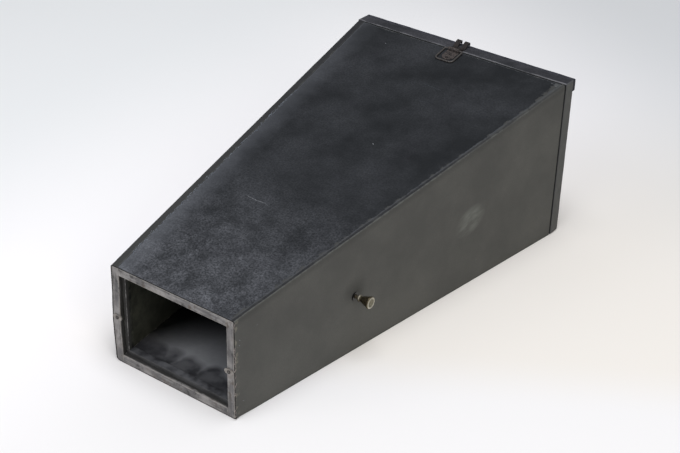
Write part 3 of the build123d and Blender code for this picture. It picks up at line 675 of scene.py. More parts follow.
metals = {
    name: aged_metal(name, *values)
    for name, *values in (
        ("blued_steel_gone_brown", "#2e2b2a", "#261d19", 1.6, 0.75, 0.4, 0.85, 0.42),
        ("worn_grey_steel", "#8b8782", "#5a4a3d", 1.8, 0.6, 0.5, 0.8, 0.5),
        ("dull_bare_steel", "#85827d", "#4d453d", 1.2, 0.9, 0.4, 0.7, 0.5),
        ("rusted_steel_wire", "#4b4744", "#29231f", 1.4, 0.4, 0.5, 0.8, 0.47),
        ("rusted_latch_plate", "#5a504b", "#231e1c", 1.8, 0.3, 0.45, 0.85, 0.36),
        ("handled_dark_brass", "#5b5240", "#2c281f", 1.2, 0.85, 0.38, 0.65, 0.42),
        ("black_lacquered_brass", "#151413", "#2c261c", 2.0, 0.35, 0.3, 0.5, 0.62),
        ("matt_black_painted_sheet", "#161616", "#2a2a29", 3.0, 0.1, 0.6, 0.75, 0.6),
    )
}
print("metals:", list(metals))

# %% [markdown]
# The knob's end is the part that fingers polish. It is told from the rest by
# its distance along the rod, and turned rings, 0.9 mm apart, show in it as fine
# bright lines. A painted highlight lies on the upper part of the neck.

# %% Polished end of the knob
RING_PITCH = 0.9 * MM
knob_low, knob_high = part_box("shutter_knob")
knob_radius = (knob_high[1] - knob_low[1]) / 2
knob_brass, tree, place = start_finish("turned_knob_brass")
x, y, z = node(tree, "SeparateXYZ", (place,)).outputs
dy, dz = [
    node(tree, "Math", (value, (knob_low[axis] + knob_high[axis]) / 2), operation="SUBTRACT")
    for value, axis in ((y, 1), (z, 2))
]
from_axis = node(tree, "CombineXYZ", (0.0, dy, dz))
from_axis = node(tree, "VectorMath", (from_axis,), operation="LENGTH")
rings = node(tree, "Math", (from_axis, 2 * math.pi / RING_PITCH), operation="MULTIPLY")
rings = node(tree, "Math", (rings,), operation="SINE")
grime = patchy(tree, place, 1.6 * MM, 0.4, 0.62, detail=5.0, rough=0.7)
end_colour = coats(
    tree,
    "#7c7867",
    ("#c9c5b7", from_axis, knob_radius * 0.55, knob_radius * 0.8),
    ("#57523f", overlap(tree, grime, 0.45)),
    ("#5d543f", from_axis, knob_radius * 0.85, knob_radius * 0.93),
)
neck = (x, knob_low[0] + 2.2 * MM, knob_low[0] + 1.4 * MM)
neck_painted_highlight = overlap(tree, neck, (dz, -0.6 * MM, 0.9 * MM))
knob_colour = coats(
    tree,
    "#4f4633",
    ("#27221a", grime),
    # A painted highlight on the upper part of the neck.
    ("#918b7c", neck_painted_highlight),
    (end_colour, x, knob_high[0] - 0.9 * MM, knob_high[0] - 0.35 * MM),
)
polish = node(tree, "MapRange", (grime, 0.0, 1.0, 0.36, 0.6))
skin = {"Base Color": knob_colour, "Metallic": 0.75, "Roughness": polish}
end_finish(tree, skin, rings, 0.25, 0.00006)
print(f"knob end at x {knob_high[0] / MM:.2f} mm, radius {knob_radius / MM:.2f} mm")

# %% [markdown]
# Felt is matted wool: a fine fuzz that takes light softly at its rim, which is
# what sheen gives. The lens is polished optical glass, with a faint wiped haze.

# %% Felt and glass
wool_felt, tree, place = start_finish("black_wool_felt")
fuzz = node(tree, "TexNoise", (place, 1 / 0.0009, 6.0, 0.75))
skin = {
    "Base Color": coats(tree, "#141415", ("#37373a", fuzz)),
    "Roughness": 0.95,
    "Sheen Weight": 0.3,
    "Specular IOR Level": 0.2,
}
end_finish(tree, skin, fuzz, 0.8, 0.0004)

optical_glass, tree, place = start_finish("polished_optical_glass")
skin = {
    "Base Color": "#f2fbf7",
    "Roughness": patchy(tree, place, 0.004, 0.35, 0.7, 0.02, 0.07, detail=3.0),
    "Transmission Weight": 1.0,
    "IOR": 1.52,
}
end_finish(tree, skin)
print("felt and glass:", wool_felt.name, optical_glass.name)

# %% [markdown]
# Loose threads and dust are matt and lie between two close greys. Those of the
# front edge are brown with handling.

# %% Bare cotton and dust for marks


def lint_colour(name, dark, pale):
    made, tree, place = start_finish(name)
    colour = coats(tree, dark, (pale, patchy(tree, place, 0.0012, 0.35, 0.65)))
    end_finish(tree, {"Base Color": colour, "Roughness": 0.9, "Specular IOR Level": 0.2})
    return made


bare_cotton = lint_colour("bare_cotton_threads", "#4a4c50", "#7a7b7c")
dust_in_scratches = lint_colour("dust_in_scratches", "#2b2e33", "#43464a")
dusty_threads = lint_colour("dusty_threads", "#5c626c", "#8f959f")
brown_threads = lint_colour("brown_stained_threads", "#6a605c", "#a39a95")
print("finishes:", len(bpy.data.materials))

# %% [markdown]
# ## Boards
#
# A board is a long wedge with eight corners. Its surface is laid out as a grid
# whose lines crowd near the edges, where each point is pulled in to a round
# edge of its own radius. A worn edge is one where that radius wanders. The grid
# also notes how near each point is to an edge, so that a finish can rub through
# there.

# %% Grid slab
EDGE_STEPS = 4  # grid steps over the round of an edge


def grid_lines(length, radius, count):
    """Places from 0 to 1, close together within the radius of both ends."""
    near = [radius * k / EDGE_STEPS / length for k in range(EDGE_STEPS + 1)]
    middle = [radius / length + (1 - 2 * radius / length) * k / count for k in range(1, count)]
    return near + middle + [1 - p for p in reversed(near)]


def nearness(distance):
    """The edge_near value at a distance in metres from an edge."""
    return max(0.0, 1 - distance / MM / EDGE_BAND)


def as_object(name, mesh, sharp=40):
    """Turns a bmesh into an object at the origin, smooth except at sharp edges."""
    bmesh.ops.recalc_face_normals(mesh, faces=mesh.faces)
    data = bpy.data.meshes.new(name)
    mesh.to_mesh(data)
    mesh.free()
    data.shade_smooth()
    data.set_sharp_from_angle(angle=math.radians(sharp))
    made = bpy.data.objects.new(name, data)
    scene.collection.objects.link(made)
    return made


def slab(
    name, corner, lengths, radius, counts, shift=None, wander=0.4, patch=0.012, open_end=None
):
    """A closed slab through corner(u, v, w), with rounded and unevenly worn edges.

    The edges' radius wanders by a share of itself, in patches of metres, and shift
    moves each finished point. An open_end leaves one face out.
    """
    lines = [grid_lines(size, radius * (1 + wander), count) for size, count in zip(lengths, counts)]
    last = [len(line) - 1 for line in lines]
    mesh = bmesh.new()
    edge_near = mesh.verts.layers.float.new("edge_near")
    made = {}

    def point(i, j, k):
        if (i, j, k) in made:
            return made[i, j, k]
        flat = [lines[a][n] * lengths[a] for a, n in enumerate((i, j, k))]
        raw = corner(*(flat[a] / lengths[a] for a in range(3)))
        local = radius * (1 + wander * noise.noise(raw / patch))
        held = [min(max(flat[a], local), lengths[a] - local) for a in range(3)]
        off = Vector([flat[a] - held[a] for a in range(3)])
        if off.length > local:
            off *= local / off.length
        spot = corner(*((held[a] + off[a]) / lengths[a] for a in range(3)))
        vert = mesh.verts.new(shift(spot) if shift else spot)
        inward = sorted(min(flat[a], lengths[a] - flat[a]) for a in range(3))
        vert[edge_near] = nearness(inward[1])
        made[i, j, k] = vert
        return vert

    for axis in range(3):
        a, b = [x for x in range(3) if x != axis]
        for end in (0, last[axis]):
            if open_end == (axis, end):
                continue
            for m in range(last[a]):
                for n in range(last[b]):
                    ring = []
                    for dm, dn in ((0, 0), (1, 0), (1, 1), (0, 1)):
                        index = [0, 0, 0]
                        index[axis], index[a], index[b] = end, m + dm, n + dn
                        ring.append(point(*index))
                    mesh.faces.new(ring)
    return as_object(name, mesh)


def dress(piece, material, body, slot, *nodes):
    """Gives a piece its finish and its body, and hides the CAD nodes that it stands for. The slot
    is not used.
    """
    piece.data.materials.clear()
    piece.data.materials.append(material)
    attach(piece, body)
    if nodes:
        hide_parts(*nodes)
    print(f"{piece.name}: {len(piece.data.vertices)} points")
    return piece


# %% [markdown]
# Every board and sheet runs between two places along the box, and its faces
# follow the slopes. So a wedge is told by two small functions that give its two
# x and its two z at any place y.

# %% Wedges along the box


def wedge(across, upright, y_low=FRONT_Y, y_high=SEAM_Y):
    """The corner function of a board with these two x and two z at each y."""

    def corner(u, v, w):
        y = between(y_low, y_high, v)
        return Vector((between(*across(y), u), y, between(*upright(y), w)))

    return corner


def full_width(inset):
    return lambda y: (-half_width(y, inset), half_width(y, inset))


def side_layer(side, inner, outer):
    return lambda y: (side * half_width(y, inner), side * half_width(y, outer))


# %% [markdown]
# The side boards carry the knocks of years. The left one has lost its corners
# and sprung outwards a little at its front, and the right one's lower front
# corner is only blunted. The sheets over them follow the same shifts.

# %% Side boards


def rounded_corner(spot, side, high, reach, length):
    """Bends a square front corner of the body round, as if knocked and worn for years."""
    size = reach * max(0.0, 1 - (spot.y - FRONT_Y) / length)
    level = roof(spot.y) if high else 0.0
    out = size - (half_width(spot.y) - side * spot.x)
    up = size - abs(spot.z - level)
    if out > 0 and up > 0:
        shrink = max(out, up) / math.hypot(out, up) - 1
        spot.x += side * out * shrink
        spot.z += (up if high else -up) * shrink
    return spot


def worn_left(spot):
    spot = rounded_corner(spot, -1, False, 3.6 * MM, 0.035)
    spot = rounded_corner(spot, -1, True, 1.6 * MM, 0.02)
    front = max(0.0, 1 - (spot.y - FRONT_Y) / 0.09)
    height = max(0.0, 1 - abs(spot.z - 0.034) / 0.032)
    spot.x -= 1.0 * MM * front**2 * (3 - 2 * height) * height**2
    return spot


def worn_right(spot):
    return rounded_corner(spot, 1, False, 1.4 * MM, 0.02)


WORN_SIDE = {-1: worn_left, 1: worn_right}
for side, word in ((-1, "left"), (1, "right")):
    board = slab(
        f"{word}_board",
        wedge(side_layer(side, SKIN, CLOTH), lambda y: (CLOTH, roof(y, CLOTH))),
        (BOARD, LENGTH, 0.105),
        0.5 * MM,
        (5, 80, 80),
        WORN_SIDE[side],
    )
    dress(board, upright_wood, "box", "painted_wood", f"{word}_side_board")

# %% [markdown]
# The top and bottom boards lie between the side boards. The bottom board has
# lost a chip from its front arris, right of the middle, where the photograph
# shows a pale break.

# %% Top and bottom boards
CHIP_CENTRE, CHIP_REACH = Vector((0.0215, FRONT_Y, SKIN)), 3.0 * MM
board_size = (0.14, LENGTH, BOARD)


def front_chip(spot):
    """Pulls the bottom board's front arris down and back in one small break."""
    gone = max(0.0, 1 - (spot - CHIP_CENTRE).length / CHIP_REACH)
    spot.z -= 0.9 * MM * gone
    spot.y += 0.8 * MM * gone
    return spot


top_shape = wedge(full_width(SKIN), lambda y: (roof(y, SKIN), roof(y, CLOTH)))
bottom_shape = wedge(full_width(SKIN), lambda y: (CLOTH, SKIN))
upper_board = slab("upper_board", top_shape, board_size, 0.5 * MM, (60, 60, 4))
lower_board = slab("lower_board", bottom_shape, board_size, 0.5 * MM, (120, 60, 5), front_chip)
dress(upper_board, level_wood, "box", "painted_wood", "top_board")
dress(lower_board, floor_wood, "box", "painted_wood", "bottom_board")

# %% [markdown]
# ## Ledges
#
# Two frames of thin strips run round the inside: one behind the mouth, for the
# negative, and one near the wide end, for the paper. The strips were cut by
# hand, so their arrises wander and have lost paint. One function makes the
# frame of four at a place along the box.

# %% Ledge frames


def ledge_frame(kind, y_low, y_high, wide, radius):
    """Four strips that line the inside from y_low to y_high, each as high as wide."""
    inset = SKIN + wide
    long, tall, deep = 2 * half_width(y_low, SKIN), roof(y_low, 2 * inset), y_high - y_low
    count = int(long / (1.5 * MM))
    lying = (long, deep, wide), (count, 4, 3)
    standing = (wide, deep, tall), (3, 4, count // 2)
    for part, across, upright, (size, counts) in (
        ("bottom", full_width(SKIN), lambda y: (SKIN, inset), lying),
        ("top", full_width(SKIN), lambda y: (roof(y, inset), roof(y, SKIN)), lying),
        ("left", side_layer(-1, inset, SKIN), lambda y: (inset, roof(y, inset)), standing),
        ("right", side_layer(1, inset, SKIN), lambda y: (inset, roof(y, inset)), standing),
    ):
        shape = wedge(across, upright, y_low, y_high)
        strip = slab(f"{kind}_strip_{part}", shape, size, radius, counts, patch=0.006)
        wood = sill_wood if part == "bottom" else ledge_wood
        dress(strip, wood, "box", "inner_wood", f"{kind}_ledge_{part}")


ledge_frame("plate", -0.1664, -0.1604, 3.0 * MM, 0.45 * MM)
ledge_frame("paper", 0.159, 0.164, 3.0 * MM, 0.4 * MM)

# %% [markdown]
# ## Cloth over the boards
#
# Each side sheet is glued up the side, round the top edge and a little way on
# to the top, where the top sheet is laid between the two folds. The side sheets
# are made as a strip of cross sections along the box: the fold, the round
# arris, the side and the bottom arris. The same section moved in by the cloth's
# thickness closes the sheet. The side's grey is painted side light and sheen,
# while the fold on the top keeps the black of the top sheet, so each point also
# notes whether it lies on the fold.

# %% Cross section of a side sheet


def section(side, y, inset):
    """The cloth's cross section at y as (x, z) points, moved in by the inset."""
    wear = noise.noise(Vector((side * 3.0, y / 0.018, 0.0)))
    radius = (0.9 + (0.9 if side > 0 else 0.4) * along(y) ** 2 + 0.3 * wear) * MM
    rag = noise.noise(Vector((side * 7.0, y / 0.0035, 2.0)))
    tuck = FOLD[side] + 0.32 * MM * rag
    top, wide, foot = roof(y), half_width(y), CLOTH + 0.6 * MM
    inner = radius - inset
    points = [(between(wide - tuck, wide - radius, k / 5), top - inset) for k in range(5)]
    for k in range(6):
        angle = math.pi / 2 * k / 5
        points.append(
            (wide - radius + inner * math.sin(angle), top - radius + inner * math.cos(angle))
        )
    points += [(wide - inset, between(top - radius, foot, k / 24)) for k in range(1, 24)]
    points.append((wide - inset, foot))
    points.append((wide - inset - 0.12 * MM, CLOTH + 0.15 * MM))
    points.append((wide - inset - 0.3 * MM, CLOTH + 0.02 * MM))
    return points


def sheet_edge(side, y, x, z):
    """How near a point of the sheet is to its arris, its cut edge or an end."""
    wide, top = half_width(y), roof(y)
    ends = y - FRONT_Y + 0.4 * MM
    arris = abs(x - wide) + abs(z - top)
    cut = abs(x - (wide - FOLD[side])) + abs(z - top)
    return nearness(min(ends, arris, cut, abs(z - CLOTH)))


def lifted_edge(side, spot):
    """How far the sheet's front edge stands off the board, most at the lower corner."""
    front = max(0.0, 1 - (spot.y - FRONT_Y) / (5 * MM))
    uneven = 0.3 + 0.25 * noise.noise(Vector((side * 4.0, spot.z / 0.009, 6.0)))
    corner = max(0.0, 1 - spot.z / (11 * MM)) if side > 0 else 0.0
    return (uneven + 0.7 * corner) * MM * front**1.5


def fold_darkness(side, y):
    """How fully the fold's own black covers the side's painted light. The left fold is dusty near
    the front, and the right one is rubbed near the seam.
    """
    if side < 0:
        return between(0.55, 0.95, along(y))
    return between(1.0, 0.45, min(1.0, max(0.0, (y - 0.02) / 0.14)))


# %% [markdown]
# The sections are now set one behind the other and joined by faces. A slow
# noise lets the cloth swell a little off the board, and the cut ends are
# frayed by 0.15 mm.

# %% Side sheets


def side_sheet(name, side, stations=420):
    """A closed strip of cross sections, with the notes edge_near and fold on its points."""
    mesh = bmesh.new()
    edge_near = mesh.verts.layers.float.new("edge_near")
    fold = mesh.verts.layers.float.new("fold")
    rings = []
    for step in range(stations + 1):
        y = between(FRONT_Y, SEAM_Y, step / stations)
        outer, inner = section(side, y, 0.0), section(side, y, CLOTH * 0.96)
        ring = []
        for (x, z), (edge_x, edge_z) in zip(outer + inner[::-1], outer + outer[::-1]):
            spot = Vector((side * x, y, z))
            swell = noise.noise(Vector((side * 9.0, y / 0.05, z / 0.04)))
            spot.x += side * 0.12 * MM * (swell - 0.5) * min(1, z / 0.02)
            if step in (0, stations):
                frayed = noise.noise(Vector((x / 0.004, z / 0.004, 1.0)))
                spot.y += 0.15 * MM * frayed * (-1 if step else 1)
            spot = WORN_SIDE[side](spot)
            spot.x += side * lifted_edge(side, spot)
            vert = mesh.verts.new(spot)
            vert[edge_near] = sheet_edge(side, y, edge_x, edge_z)
            over = half_width(y) - edge_x > 0.6 * MM and roof(y) - edge_z < 0.4 * MM
            vert[fold] = fold_darkness(side, y) * over
            ring.append(vert)
        rings.append(ring)
    count = len(rings[0])
    for a, b in zip(rings, rings[1:]):
        for k in range(count):
            mesh.faces.new((a[k], a[(k + 1) % count], b[(k + 1) % count], b[k]))
    for ring in (rings[0], rings[-1]):
        for k in range(count // 2 - 1):
            mesh.faces.new((ring[k], ring[k + 1], ring[count - 2 - k], ring[count - 1 - k]))
    return as_object(name, mesh)


for side, word in ((-1, "left"), (1, "right")):
    sheet = side_sheet(f"{word}_cloth", side)
    dress(sheet, side_leathercloth_painted_light, "box", "leathercloth", f"{word}_covering")

# %% [markdown]
# The top sheet lies between the folds. Its long edges wander a little against
# them, and its rear edge is worn back from the seam, so that a pale strip of
# the board shows there.

# %% Top sheet


def top_sheet_edges(spot):
    """Cut edges wander by a fraction of a millimetre, and the rear one is worn back."""
    rag = noise.noise(Vector((spot.x / 0.004, spot.y / 0.004, 3.0)))
    left_gap = spot.x + half_width(spot.y) - FOLD[-1]
    right_gap = half_width(spot.y) - FOLD[1] - spot.x
    if left_gap < 1 * MM:
        spot.x += 0.25 * MM * (rag + 0.6)
    if right_gap < 1 * MM:
        spot.x -= 0.25 * MM * (rag + 0.6)
    if SEAM_Y - spot.y < 1 * MM:
        slow = noise.noise(Vector((spot.x / 0.025, 5.0, 3.0)))
        back = (0.9 + 0.8 * slow + 0.35 * rag) * MM
        spot.y -= back
        spot.z -= back * math.tan(RISE)
    return spot


top_sheet = wedge(
    lambda y: (-half_width(y) + FOLD[-1], half_width(y) - FOLD[1]),
    lambda y: (roof(y, CLOTH), roof(y)),
)
top_cloth = slab(
    "top_cloth", top_sheet, (0.14, LENGTH, CLOTH), 0.16 * MM, (110, 200, 1), top_sheet_edges
)
dress(top_cloth, top_leathercloth, "box", "leathercloth", "top_covering")

# %% [markdown]
# The bottom sheet covers the underside from arris to arris. The two hinge
# straps are screwed down on it, and the cloth is pressed flat beneath them.

# %% Bottom sheet
strap_boxes = [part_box(f"{side}_hinge_strap") for side in ("left", "right")]


def strap_dents(spot):
    """Presses the sheet flat against the board where a hinge strap lies in it."""
    for low, high in strap_boxes:
        if low[0] - MM / 5 < spot.x < high[0] + MM / 5 and spot.y > low[1] - MM / 5:
            spot.z = max(spot.z, CLOTH - 0.02 * MM)
    return worn_right(rounded_corner(spot, -1, False, 3.6 * MM, 0.035))


bottom_sheet = wedge(full_width(0.0), lambda y: (0.0, CLOTH))
bottom_cloth = slab(
    "bottom_cloth", bottom_sheet, (0.15, LENGTH, CLOTH), 0.16 * MM, (90, 120, 1), strap_dents
)
dress(bottom_cloth, under_leathercloth, "box", "leathercloth", "bottom_covering")

# %% [markdown]
# ## Back cover
#
# The cover is a board in a pan of the same cloth: sides, top, bottom and back
# are covered and the inner face is painted. The pan is an open slab that gets
# its thickness from Solidify. A rail of beech is nailed across its top as a
# finger grip.

# %% Cover cloth, board and rail


def plain_block(name, low, high, radius, counts, **more):
    """A slab between two opposite corners."""
    size = [b - a for a, b in zip(low, high)]
    shape = wedge(lambda y: (low[0], high[0]), lambda y: (low[2], high[2]), low[1], high[1])
    return slab(name, shape, size, radius, counts, **more)


def finished_mesh(piece):
    """Turns what a piece's modifiers give into its plain mesh, and removes them."""
    bpy.context.view_layer.update()
    shown = piece.evaluated_get(bpy.context.evaluated_depsgraph_get())
    plain = bpy.data.meshes.new_from_object(shown)
    piece.modifiers.clear()
    piece.data = plain
    return piece


cover_cloth = plain_block(
    "cover_cloth",
    (-COVER_HALF, COVER_FRONT, COVER_LOW),
    (COVER_HALF, COVER_BACK, COVER_TOP),
    0.8 * MM,
    (110, 7, 74),
    patch=0.008,
    open_end=(1, 0),
)
pan = cover_cloth.modifiers.new("thickness", "SOLIDIFY")
pan.thickness = CLOTH * 0.94
pan.offset = -1.0
dress(finished_mesh(cover_cloth), cover_leathercloth, "cover", "cover_cloth", "cover_covering")
inner_board = plain_block(
    "cover_inner_board",
    (-COVER_HALF + CLOTH, COVER_FRONT, COVER_LOW + CLOTH),
    (COVER_HALF - CLOTH, COVER_BACK - CLOTH, COVER_TOP - CLOTH),
    0.8 * MM,
    (60, 4, 40),
)
dress(inner_board, cover_wood, "cover", "painted_wood", "cover_board")
rail = plain_block(
    "finger_grip_rail",
    (-COVER_HALF, COVER_BACK, COVER_TOP - 0.010),
    (COVER_HALF, RAIL_BACK, COVER_TOP),
    0.9 * MM,
    (120, 3, 8),
    patch=0.01,
)
dress(rail, rail_wood, "cover", "painted_wood", "finger_rail")

# %% [markdown]
# ## Frayed threads
#
# Where leathercloth is cut or rubbed, threads of its cotton stand loose. They
# follow an edge, so Geometry Nodes lay them along guide lines: the guide is cut
# at an even spacing, each point is nudged, a noise leaves some stretches bare,
# and a small bent thread is put on each point that stays, turned a little from
# the edge's direction.

# %% Starting and ending a tree


def new_tree(name, **inputs):
    """An empty Geometry Nodes tree with a geometry in and out and the named inputs."""
    tree = bpy.data.node_groups.new(name, "GeometryNodeTree")
    sockets = [("Geometry", "INPUT", "Geometry"), ("Geometry", "OUTPUT", "Geometry")]
    sockets += [(label.replace("_", " "), "INPUT", kind) for label, kind in inputs.items()]
    for label, way, kind in sockets:
        tree.interface.new_socket(name=label, in_out=way, socket_type=f"NodeSocket{kind}")
    return tree, node(tree, "NodeGroupInput").outputs


def end_tree(tree, instances, material):
    """Ends a tree with real geometry in one material."""
    real = node(tree, "GeometryNodeRealizeInstances", {"Geometry": instances})
    faced = node(tree, "GeometryNodeSetMaterial", {"Geometry": real, "Material": material})
    node(tree, "NodeGroupOutput", {"Geometry": faced})
    print(f"{tree.name}: {len(tree.nodes)} nodes")


def turned_by_chance(tree, rotation, low, high, seed):
    """A rotation that is turned further about its own Z by a random angle."""
    angle = node(tree, "FunctionNodeRandomValue", {0: low, 1: high, "Seed": seed})
    extra = node(tree, "CombineXYZ", (0.0, 0.0, angle))
    extra = node(tree, "FunctionNodeEulerToRotation", (extra,))
    return node(tree, "FunctionNodeRotateRotation", (rotation, extra), rotation_space="LOCAL")


# %% [markdown]
# The first part of the tree finds where threads go: points along the guide,
# each nudged to the side, and a choice of those that stay.

# %% Tree of frayed threads
threads, given = new_tree(
    "frayed_threads",
    Spacing="Float",
    Thread_length="Float",
    Thread_radius="Float",
    Nudge="Float",
    Turn="Float",
    Bare_share="Float",
    Seed="Int",
    Material="Material",
)
seed = given["Seed"]
line = node(threads, "GeometryNodeMeshToCurve", {"Mesh": given["Geometry"]})
cut = {"Curve": line, "Length": given["Spacing"]}
cut = node(threads, "GeometryNodeResampleCurve", cut, mode="LENGTH")
back, counter = [
    node(threads, "Math", (given[name], -1.0), operation="MULTIPLY") for name in ("Nudge", "Turn")
]
low, high = [node(threads, "CombineXYZ", (reach, reach, 0.0)) for reach in (back, given["Nudge"])]
nudge = {0: low, 1: high, "Seed": seed}
nudge = node(threads, "FunctionNodeRandomValue", nudge, data_type="FLOAT_VECTOR")
moved = node(threads, "GeometryNodeSetPosition", {"Geometry": cut, "Offset": nudge})
cloud = node(threads, "TexNoise", (node(threads, "GeometryNodeInputPosition"), 1 / 0.012, 2.0))
kept = (cloud, given["Bare share"])
kept = node(threads, "FunctionNodeCompare", kept, data_type="FLOAT", operation="GREATER_THAN")
ahead = {"Vector": node(threads, "GeometryNodeInputTangent")}
laid = node(threads, "FunctionNodeAlignRotationToVector", ahead, axis="X")
size = node(threads, "FunctionNodeRandomValue", {0: 0.35, 1: 1.3, "Seed": seed})

# %% [markdown]
# One thread is a shallow bow: a curve from minus to plus half its length that
# swells sideways by 0.45 of that half. It is given a round section of five
# sides, which is enough for something thinner than a pixel.

# %% One bent thread, put on each point
half = node(threads, "Math", (given["Thread length"], 0.5), operation="MULTIPLY")
minus, bow = [
    node(threads, "Math", (half, share), operation="MULTIPLY") for share in (-1.0, 0.45)
]
bent = {
    "Resolution": 5,
    "Start": node(threads, "CombineXYZ", (minus, 0.0, 0.0)),
    "Middle": node(threads, "CombineXYZ", (0.0, bow, 0.0)),
    "End": node(threads, "CombineXYZ", (half, 0.0, 0.0)),
}
bent = node(threads, "GeometryNodeCurveQuadraticBezier", bent)
rim = {"Resolution": 5, "Radius": given["Thread radius"]}
rim = node(threads, "GeometryNodeCurvePrimitiveCircle", rim)
strand = {"Curve": bent, "Profile Curve": rim, "Fill Caps": True}
placed = {
    "Points": moved,
    "Selection": kept,
    "Instance": node(threads, "GeometryNodeCurveToMesh", strand),
    "Rotation": turned_by_chance(threads, laid, counter, given["Turn"], seed),
    "Scale": size,
}
placed = node(threads, "GeometryNodeInstanceOnPoints", placed)
end_tree(threads, placed, given["Material"])

# %% [markdown]
# A tree runs once on a guide, which is a line or a few points. The result is
# kept as a plain mesh, and the modifier goes.

# %% Grow a piece from a guide


def grow(name, points, edges, tree, values):
    """Runs a tree on a guide mesh once and leaves a plain mesh at the origin."""
    guide = bpy.data.meshes.new(name)
    guide.from_pydata(points, edges, [])
    piece = bpy.data.objects.new(name, guide)
    scene.collection.objects.link(piece)
    modifier = piece.modifiers.new(name, "NODES")
    modifier.node_group = tree
    for item in tree.interface.items_tree:
        if item.in_out == "INPUT" and item.name in values:
            modifier[item.identifier] = values[item.name]
    return finished_mesh(piece)


def on_top(x, y, lift=0.0):
    return Vector((x, y, roof(y) + lift))


def beside_fold(side, gap):
    """A place on the top, a gap inside the edge of one fold."""
    return lambda y: on_top(side * (half_width(y) - FOLD[side] - gap), y, 0.02 * MM)


# %% [markdown]
# Five guides are used: the edge of each fold on the top, the rear edge of the
# top sheet, the front edge of the right sheet, and the front arris of the
# cover. A thread is 0.14 mm thick, which is coarse cotton and still under a
# pixel, so the longer ones show as faint pale dashes. At the front edge, where
# hands catch the cloth, they hang together in tufts of 0.4 mm.

# %% Threads on the box and on the cover
GUIDE_STEPS = 60
EDGE_X = half_width(FRONT_Y) + 0.5 * MM
columns = ("Spacing", "Thread radius", "Bare share", "Nudge", "Thread length", "Turn", "Seed")
for name, place, low, high, values, material, body, slot in (
    (
        "left_fold_threads", beside_fold(-1, 0.5 * MM), -0.150, 0.06,
        (1.1 * MM, 0.07 * MM, 0.42, 0.5 * MM, 7.0 * MM, 0.05, 3),
        dusty_threads, "box", "leathercloth",
    ),
    (
        "right_fold_threads", beside_fold(1, 0.2 * MM), -0.168, 0.168,
        (1.1 * MM, 0.07 * MM, 0.60, 0.45 * MM, 2.0 * MM, 0.4, 5),
        dust_in_scratches, "box", "leathercloth",
    ),
    (
        "seam_threads", lambda x: on_top(x, SEAM_Y - 1.3 * MM, -0.1 * MM), -0.088, 0.092,
        (1.1 * MM, 0.07 * MM, 0.50, 0.35 * MM, 2.4 * MM, 0.4, 7),
        bare_cotton, "box", "leathercloth",
    ),
    (
        "front_edge_threads", lambda z: Vector((EDGE_X, FRONT_Y - 0.1 * MM, z)), 0.003, 0.0775,
        (1.6 * MM, 0.2 * MM, 0.44, 0.45 * MM, 1.8 * MM, 0.9, 13),
        brown_threads, "box", "leathercloth",
    ),
    (
        "cover_edge_threads", lambda x: Vector((x, COVER_FRONT + 0.5 * MM, COVER_TOP)),
        -0.095, 0.095,
        (1.4 * MM, 0.08 * MM, 0.5, 0.2 * MM, 2.2 * MM, 0.3, 11),
        bare_cotton, "cover", "cover_cloth",
    ),
):
    points = [place(between(low, high, k / GUIDE_STEPS)) for k in range(GUIDE_STEPS + 1)]
    edges = [(k, k + 1) for k in range(GUIDE_STEPS)]
    settings = dict(zip(columns, values)) | {"Material": material}
    dress(grow(name, points, edges, threads, settings), material, body, slot)

# %% [markdown]
# ## Screws and brads
#
# The hinge screws are flat headed with a straight slot, each stopped at its own
# angle. The rail's brads have small domed heads. Both are made once as a small
# mesh and put in place by one tree, which reads each fastener's place from the
# CAD node that it stands for.

# %% Places of the CAD fasteners


def boxes_of(name):
    """The low and high corner of each separate solid in a CAD node."""
    joined = bmesh.new()
    joined.from_mesh(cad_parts[name].data)
    bmesh.ops.remove_doubles(joined, verts=joined.verts, dist=0.001 * MM)
    left, boxes = set(joined.verts), []
    while left:
        group, queue = set(), [left.pop()]
        while queue:
            vert = queue.pop()
            group.add(vert)
            for edge in vert.link_edges:
                other = edge.other_vert(vert)
                if other in left:
                    left.discard(other)
                    queue.append(other)
        low = [min(v.co[a] for v in group) for a in range(3)]
        high = [max(v.co[a] for v in group) for a in range(3)]
        boxes.append((Vector(low), Vector(high)))
    joined.free()
    return sorted(boxes, key=lambda pair: (round(pair[0].z, 4), pair[0].x))


# %% [markdown]
# A head is a grid of rows across a circle. Two close pairs of rows stand at the
# walls of the slot, and what lies between them is pushed down. Its rim is drawn
# down to a flat underside, and a shank is set below.

# %% Heads


def rows_of(radius, slot):
    """Row heights across a round head, with two close pairs at the slot's walls."""
    half = slot / 2
    rows = [-radius, -0.95 * radius, -0.8 * radius, -0.55 * radius]
    rows += [-half - 0.02 * MM, -half + 0.02 * MM]
    return rows + [-r for r in reversed(rows)]


